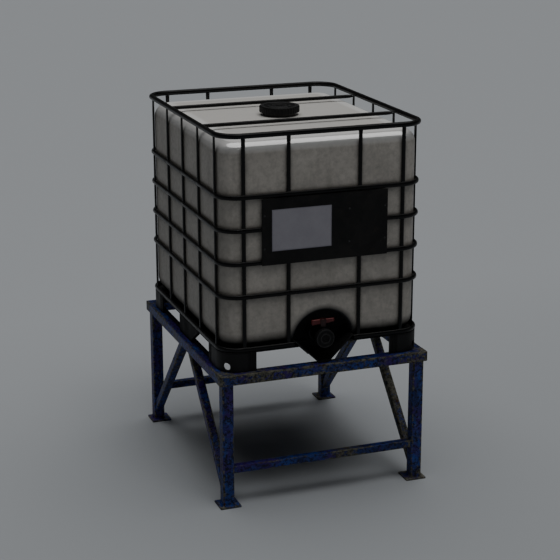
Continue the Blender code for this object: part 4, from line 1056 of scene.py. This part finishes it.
def make_filling_cap(look, rubber):
    low, high = box("fill_cap")
    radius, top, bottom = high[0], high[2], low[2]
    ribs, depth, ribbed_from = 36, 0.0030, 0.0905

    def grip(angles, row_radius, height):
        """Ribs round the outer wall, fading towards the lid."""
        if row_radius < ribbed_from:
            return 0.0
        share = min(1.0, max(0.0, (top - 0.002 - height) / 0.004))
        wave = 0.5 + 0.5 * np.tanh(3.0 * np.sin(ribs * angles))
        return -depth * share * wave

    recess, floor, step, dip = 0.043, top - 0.0025, top - 0.0003, top - 0.0022
    bore, roof, vent = 0.0840, 1.7372, 0.030
    shape = lathed([
        (vent, floor), (recess - 0.0008, floor), (recess, step), (0.050, step), (0.052, dip), (0.074, dip),
        (0.076, top), (radius - 0.004, top), (radius, top - 0.004), (radius, bottom), (bore, bottom),
        (bore, roof), (vent, roof), (vent, floor),
    ], 0.0012, 288, True, grip)
    for i in range(6):
        outwards, sideways = spoke(math.tau * i / 6)
        start, end = (outwards * reach + Z_AXIS * (top - 0.0019) for reach in (0.0525, 0.0755))
        bar(shape, start, end, sideways, (0.0022, 0.0017), 0.0009, rows=3, chamfer=0.0003)
    shape.piece("filling_cap_ribbed", look, "cap_plastic", "fill_cap", "fill_cap", sharp=32)
    low, high = box("vent_plug")
    head, dish, shank = high[2], high[2] - 0.0012, 0.0295

    def notched(angles, row_radius, height):
        """Fine notches round the plug's rim."""
        return -0.0005 * (np.sin(24 * angles) > 0) if row_radius > 0.0370 else 0.0

    shape = lathed([
        (0.0004, dish), (0.022, dish), (0.024, head), (0.0375, head), (0.0380, head - 0.0018),
        (shank, head - 0.0019), (shank, low[2]), (0.0004, low[2]),
    ], 0.0006, ripple=notched)
    for angle in (0.4, 0.4 + math.pi / 2):
        outwards, sideways = spoke(angle)
        start, end = (Z_AXIS * (head - 0.0010) + outwards * reach for reach in (-0.021, 0.021))
        bar(shape, start, end, sideways, (0.0028, 0.0009), 0.0005, rows=3, chamfer=0.0002)
    shape.piece("vent_plug_cross", look, "cap_plastic", "vent_plug", "vent_plug", sharp=32)
    low, high = box("cap_gasket")
    inner, outer, bottom, top = 0.0702, high[0], low[2], high[2]
    corners = [(inner, bottom), (inner, top), (outer, top), (outer, bottom), (inner, bottom)]
    lathed(corners, 0.0009, 96, True).piece("gasket_ring", rubber, "seal_rubber", "cap_seal", "cap_gasket")


def make_valve(look, red, rubber, capped):
    low, high = box("valve_body")
    place, stem_place = lathe_y((0.0, 0.0, OUTLET_HEIGHT)), Matrix.Translation((0.0, STEM_Y, 0.0))
    back, front, bore = -high[1], -low[1], 0.025

    def nut(angles, row_radius, along):
        """Grips round the union nut next to the bottle."""
        return -0.0018 * (0.5 + 0.5 * np.tanh(3 * np.sin(24 * angles))) if row_radius > 0.043 else 0.0

    spout, pipe, waist, neck = 0.0320, 0.0345, 0.0335, 0.0309
    flange = 0.0440
    shape = lathed([
        (bore, front), (spout, front), (spout, 0.5870), (neck, 0.5862), (neck, 0.5850), (spout, 0.5842),
        (spout, 0.580), (pipe, 0.579), (pipe, 0.5625), (waist, 0.5615), (waist, 0.5545), (pipe, 0.5535),
        (pipe, 0.512), (spout, 0.508), (spout, 0.5015), (flange, 0.5010), (flange, back), (bore, back),
        (bore, front),
    ], 0.0010, 144, True, nut, place)
    tower = softened([
        (0.0056, 0.024), (0.0056, 0.047), (0.0100, 0.047), (0.0100, 0.042), (0.0120, 0.038), (0.0120, 0.026),
        (0.0056, 0.024),
    ], 0.0008)[:-1]
    turned(shape, tower, 48, True, place=Matrix.Translation((0.0, STEM_Y, OUTLET_HEIGHT)))
    shape.piece("valve_pipe", look, "valve_plastic", ROOT, "valve_body", sharp=32)
    low, high = box("valve_disc")
    disc = [(0.0003, 0.0020), (0.0240, 0.0020), (0.0240, -0.0020), (0.0003, -0.0020)]
    shape = lathed(disc, 0.0010, 72, place=lathe_y((0, STEM_Y, OUTLET_HEIGHT)))
    stem = softened([(0.0003, high[2]), (0.0050, high[2]), (0.0050, low[2]), (0.0003, low[2])], 0.0006)
    turned(shape, stem, 32, place=stem_place)
    shape.piece("butterfly_disc_and_stem", look, "valve_plastic", "valve", "valve_disc")
    make_handle(red, stem_place)
    low, high = box("outlet_seal")
    seal = [(0.0003, -low[1]), (high[0], -low[1]), (high[0], -high[1]), (0.0003, -high[1])]
    shape = lathed(seal, 0.0009, 72, place=place)
    shape.piece("outlet_seal_disc", rubber, "seal_rubber", "outlet_seal", "outlet_seal")
    low, high = box("outlet_cap")
    front, back, radius = -low[1], -high[1], high[0]

    def grip(angles, row_radius, along):
        """Ribs round the cap's wall, fading towards its face."""
        if row_radius < 0.0425:
            return 0.0
        share = min(1.0, max(0.0, (front - 0.0015 - along) / 0.003))
        return -0.0016 * share * (0.5 + 0.5 * np.tanh(3 * np.sin(28 * angles)))

    roof, bore = back + 0.0187, 0.0335
    dish, hub, ring, step = front - 0.0045, front - 0.0030, front - 0.0004, front - 0.0024
    shape = lathed([
        (0.0004, dish), (0.0070, dish), (0.0080, hub), (0.0100, hub), (0.0110, dish), (0.0185, dish),
        (0.0192, ring), (0.0245, ring), (0.0255, step), (0.0365, step), (0.0375, front),
        (radius - 0.002, front), (radius, front - 0.002), (radius, back), (bore, back), (bore, roof),
        (0.0004, roof),
    ], 0.0008, 224, ripple=grip, place=place)
    shape.piece("outlet_cap_ribbed", capped, "valve_plastic", "outlet_cap", "outlet_cap", sharp=32)


def make_handle(red, stem_place):
    """A T with tapering wings, each grooved on both sides."""
    low, high = box("valve_handle")
    bottom, top, hub = low[2], high[2], HANDLE_HUB_RADIUS
    dip, socket = top - 0.0020, bottom + 0.018
    shape = lathed([
        (0.0003, dip), (0.0085, dip), (0.0100, top), (hub, top - 0.0008), (hub, bottom + 0.004),
        (0.0130, bottom), (0.0055, bottom), (0.0055, socket), (0.0003, socket),
    ], 0.0012, 64, place=stem_place)
    wing_start, wing_low, wing_high = 0.010, 0.8255, 0.8500
    for side, taper in ((-1, -0.0035), (1, 0.0070)):
        rows = []
        for t in np.linspace(0.0, 1.0, 22):
            x = wing_start + (high[0] - wing_start) * t
            tip = math.sqrt(max(0.0, 1.0 - max(0.0, (t - 0.86) / 0.14) ** 2))
            lower, upper = wing_low + taper * t, wing_high - 0.0010 * t
            middle_z, half_z = (lower + upper) / 2, (upper - lower) / 2 * (0.35 + 0.65 * tip)
            half_y = 0.0069 * (0.25 + 0.75 * tip)
            least = min(half_y, half_z)
            ring, _ = section(half_y, half_z, least * 0.72, least * 0.1, 5)
            y, z = STEM_Y + ring[:, 0], middle_z + ring[:, 1]
            rows.append(stack(side * x, y, z))
        shape.skin(rows)
        for face in (-1, 1):
            start = (side * 0.020, STEM_Y + face * 0.0060, 0.8385)
            end = (side * 0.048, STEM_Y + face * 0.0070, 0.8370)
            bar(shape, start, end, Y_AXIS, (0.0008, 0.0030), 0.0006, rows=3, chamfer=0.0003)
    shape.piece("butterfly_handle", red, "handle_plastic", "valve", "valve_handle", sharp=40)


# ---------------------------------------------------------------- studio


def make_camera():
    camera = bpy.data.cameras.new("camera")
    camera.lens = 99.34
    camera.sensor_width = 36.0
    camera.clip_end = 400.0
    obj = link("camera", camera)
    azimuth, elevation, roll = math.radians(20.163), math.radians(16.626), -0.001757
    ahead = Vector((
        math.sin(azimuth) * math.cos(elevation), math.cos(azimuth) * math.cos(elevation), -math.sin(elevation)
    ))
    level = Vector((math.cos(azimuth), -math.sin(azimuth), 0.0))
    right = math.cos(roll) * level + math.sin(roll) * level.cross(ahead)
    turn = Matrix((right, right.cross(ahead), -ahead)).transposed()
    obj.matrix_world = Matrix.Translation((-2.502, -6.818, 3.044)) @ turn.to_4x4()
    bpy.context.scene.camera = obj


def make_studio():
    """A wide round floor just under the object, its surroundings and two soft suns."""
    shape = Shape()
    steps, level = 64, -0.0002
    angles = np.linspace(0, math.tau, steps, endpoint=False)
    circle = np.column_stack([np.cos(angles), np.sin(angles)])
    shape.skin([lifted(circle * radius, level) for radius in (0.5, 3.0, 20.0, 90.0)], caps=False)
    shape.faces.append(tuple(range(steps)))
    mesh = shape.mesh("floor")
    if mesh.polygons[0].normal.z < 0:
        mesh.flip_normals()
    mesh.materials.append(floor_look())
    link("floor", mesh)
    world = bpy.data.worlds.new("studio")
    world.use_nodes = True
    nodes, links = world.node_tree.nodes, world.node_tree.links
    direction = nodes.new("ShaderNodeTexCoord").outputs["Generated"]
    split = nodes.new("ShaderNodeSeparateXYZ")
    links.new(direction, split.inputs[0])
    sky = nodes.new("ShaderNodeMapRange")
    levels = {"From Min": 0.0, "From Max": 0.06, "To Min": HORIZON, "To Max": ZENITH}
    for key, value in levels.items():
        sky.inputs[key].default_value = value
    links.new(split.outputs[2], sky.inputs["Value"])
    background = nodes["Background"]
    background.inputs["Color"].default_value = (0.95, 0.98, 1.0, 1.0)
    links.new(sky.outputs[0], background.inputs["Strength"])
    bpy.context.scene.world = world
    for name, energy, spread, tilt, roll in (("overhead", 1.20, 66, -4, 4), ("front", 0.27, 26, 25, 5)):
        lamp = bpy.data.lights.new(name, "SUN")
        lamp.energy = energy
        lamp.angle = math.radians(spread)
        lamp.color = (1.0, 0.995, 0.985)
        link(name, lamp).rotation_euler = (math.radians(tilt), math.radians(roll), 0.0)


BLACKS = {
    # The cage's large amount of dusty film doubles as a painted highlight along its tube tops.
    "cage_coating_black": ((0.0024, 0.0024, 0.0027), (0.042, 0.041, 0.040), 0.30, 220.0, 0.50, 0.08, 0.24),
    "pallet_plastic_black": ((0.0092, 0.0092, 0.0097), (0.040, 0.039, 0.038), 0.50, 160.0, 0.30, 0.28, 0.20),
    # A darker copy of the pallet plastic for the runners: painted shade under the deck.
    "runner_plastic_shaded_copy": ((0.0016, 0.0016, 0.0018), (0.009, 0.009, 0.009), 0.62, 160.0, 0.20, 0.20, 0.10),
    "valve_plastic_black": ((0.0045, 0.0045, 0.0048), (0.026, 0.025, 0.025), 0.46, 260.0, 0.25, 0.25, 0.25),
    "rivet_painted_worn": ((0.016, 0.016, 0.017), (0.16, 0.16, 0.16), 0.34, 260.0, 0.30, 0.60, 0.5),
}

make_camera()
cage, pallet, runner, valve, rivet = (coated_look(name, *values) for name, values in BLACKS.items())
# Grey on the caps' raised rings is rubbing and a painted highlight on the rims.
fill_cap = ringed_look(
    "fill_cap_black", (1.0, 1.0, 0.0), (0.0, 0.0, 0.0), (0.0340, 0.0510, 0.0780, 0.0860), 0.0030,
    (0.075, 0.075, 0.078),
)
outlet_cap = ringed_look(
    "outlet_cap_black", (1.0, 0.0, 1.0), (0.0, 0.0, OUTLET_HEIGHT), (0.0220, 0.0415), 0.0040,
    (0.040, 0.040, 0.042),
)
stand, rubber = stand_look(), rubber_look()
for make in (make_legs, make_beams, make_rails, make_braces):
    make(stand)
for make in (make_deck, make_feet, make_guard):
    make(pallet)
# The runners get the darker copy of the pallet plastic as painted shade.
make_runners(runner)
ring_levels = make_cage(cage)
make_plate(plate_look(), label_look(*box("label_panel")), rivet)
make_bottle(ring_levels)
make_filling_cap(fill_cap, rubber)
make_valve(valve, handle_look(), rubber, outlet_cap)
make_studio()
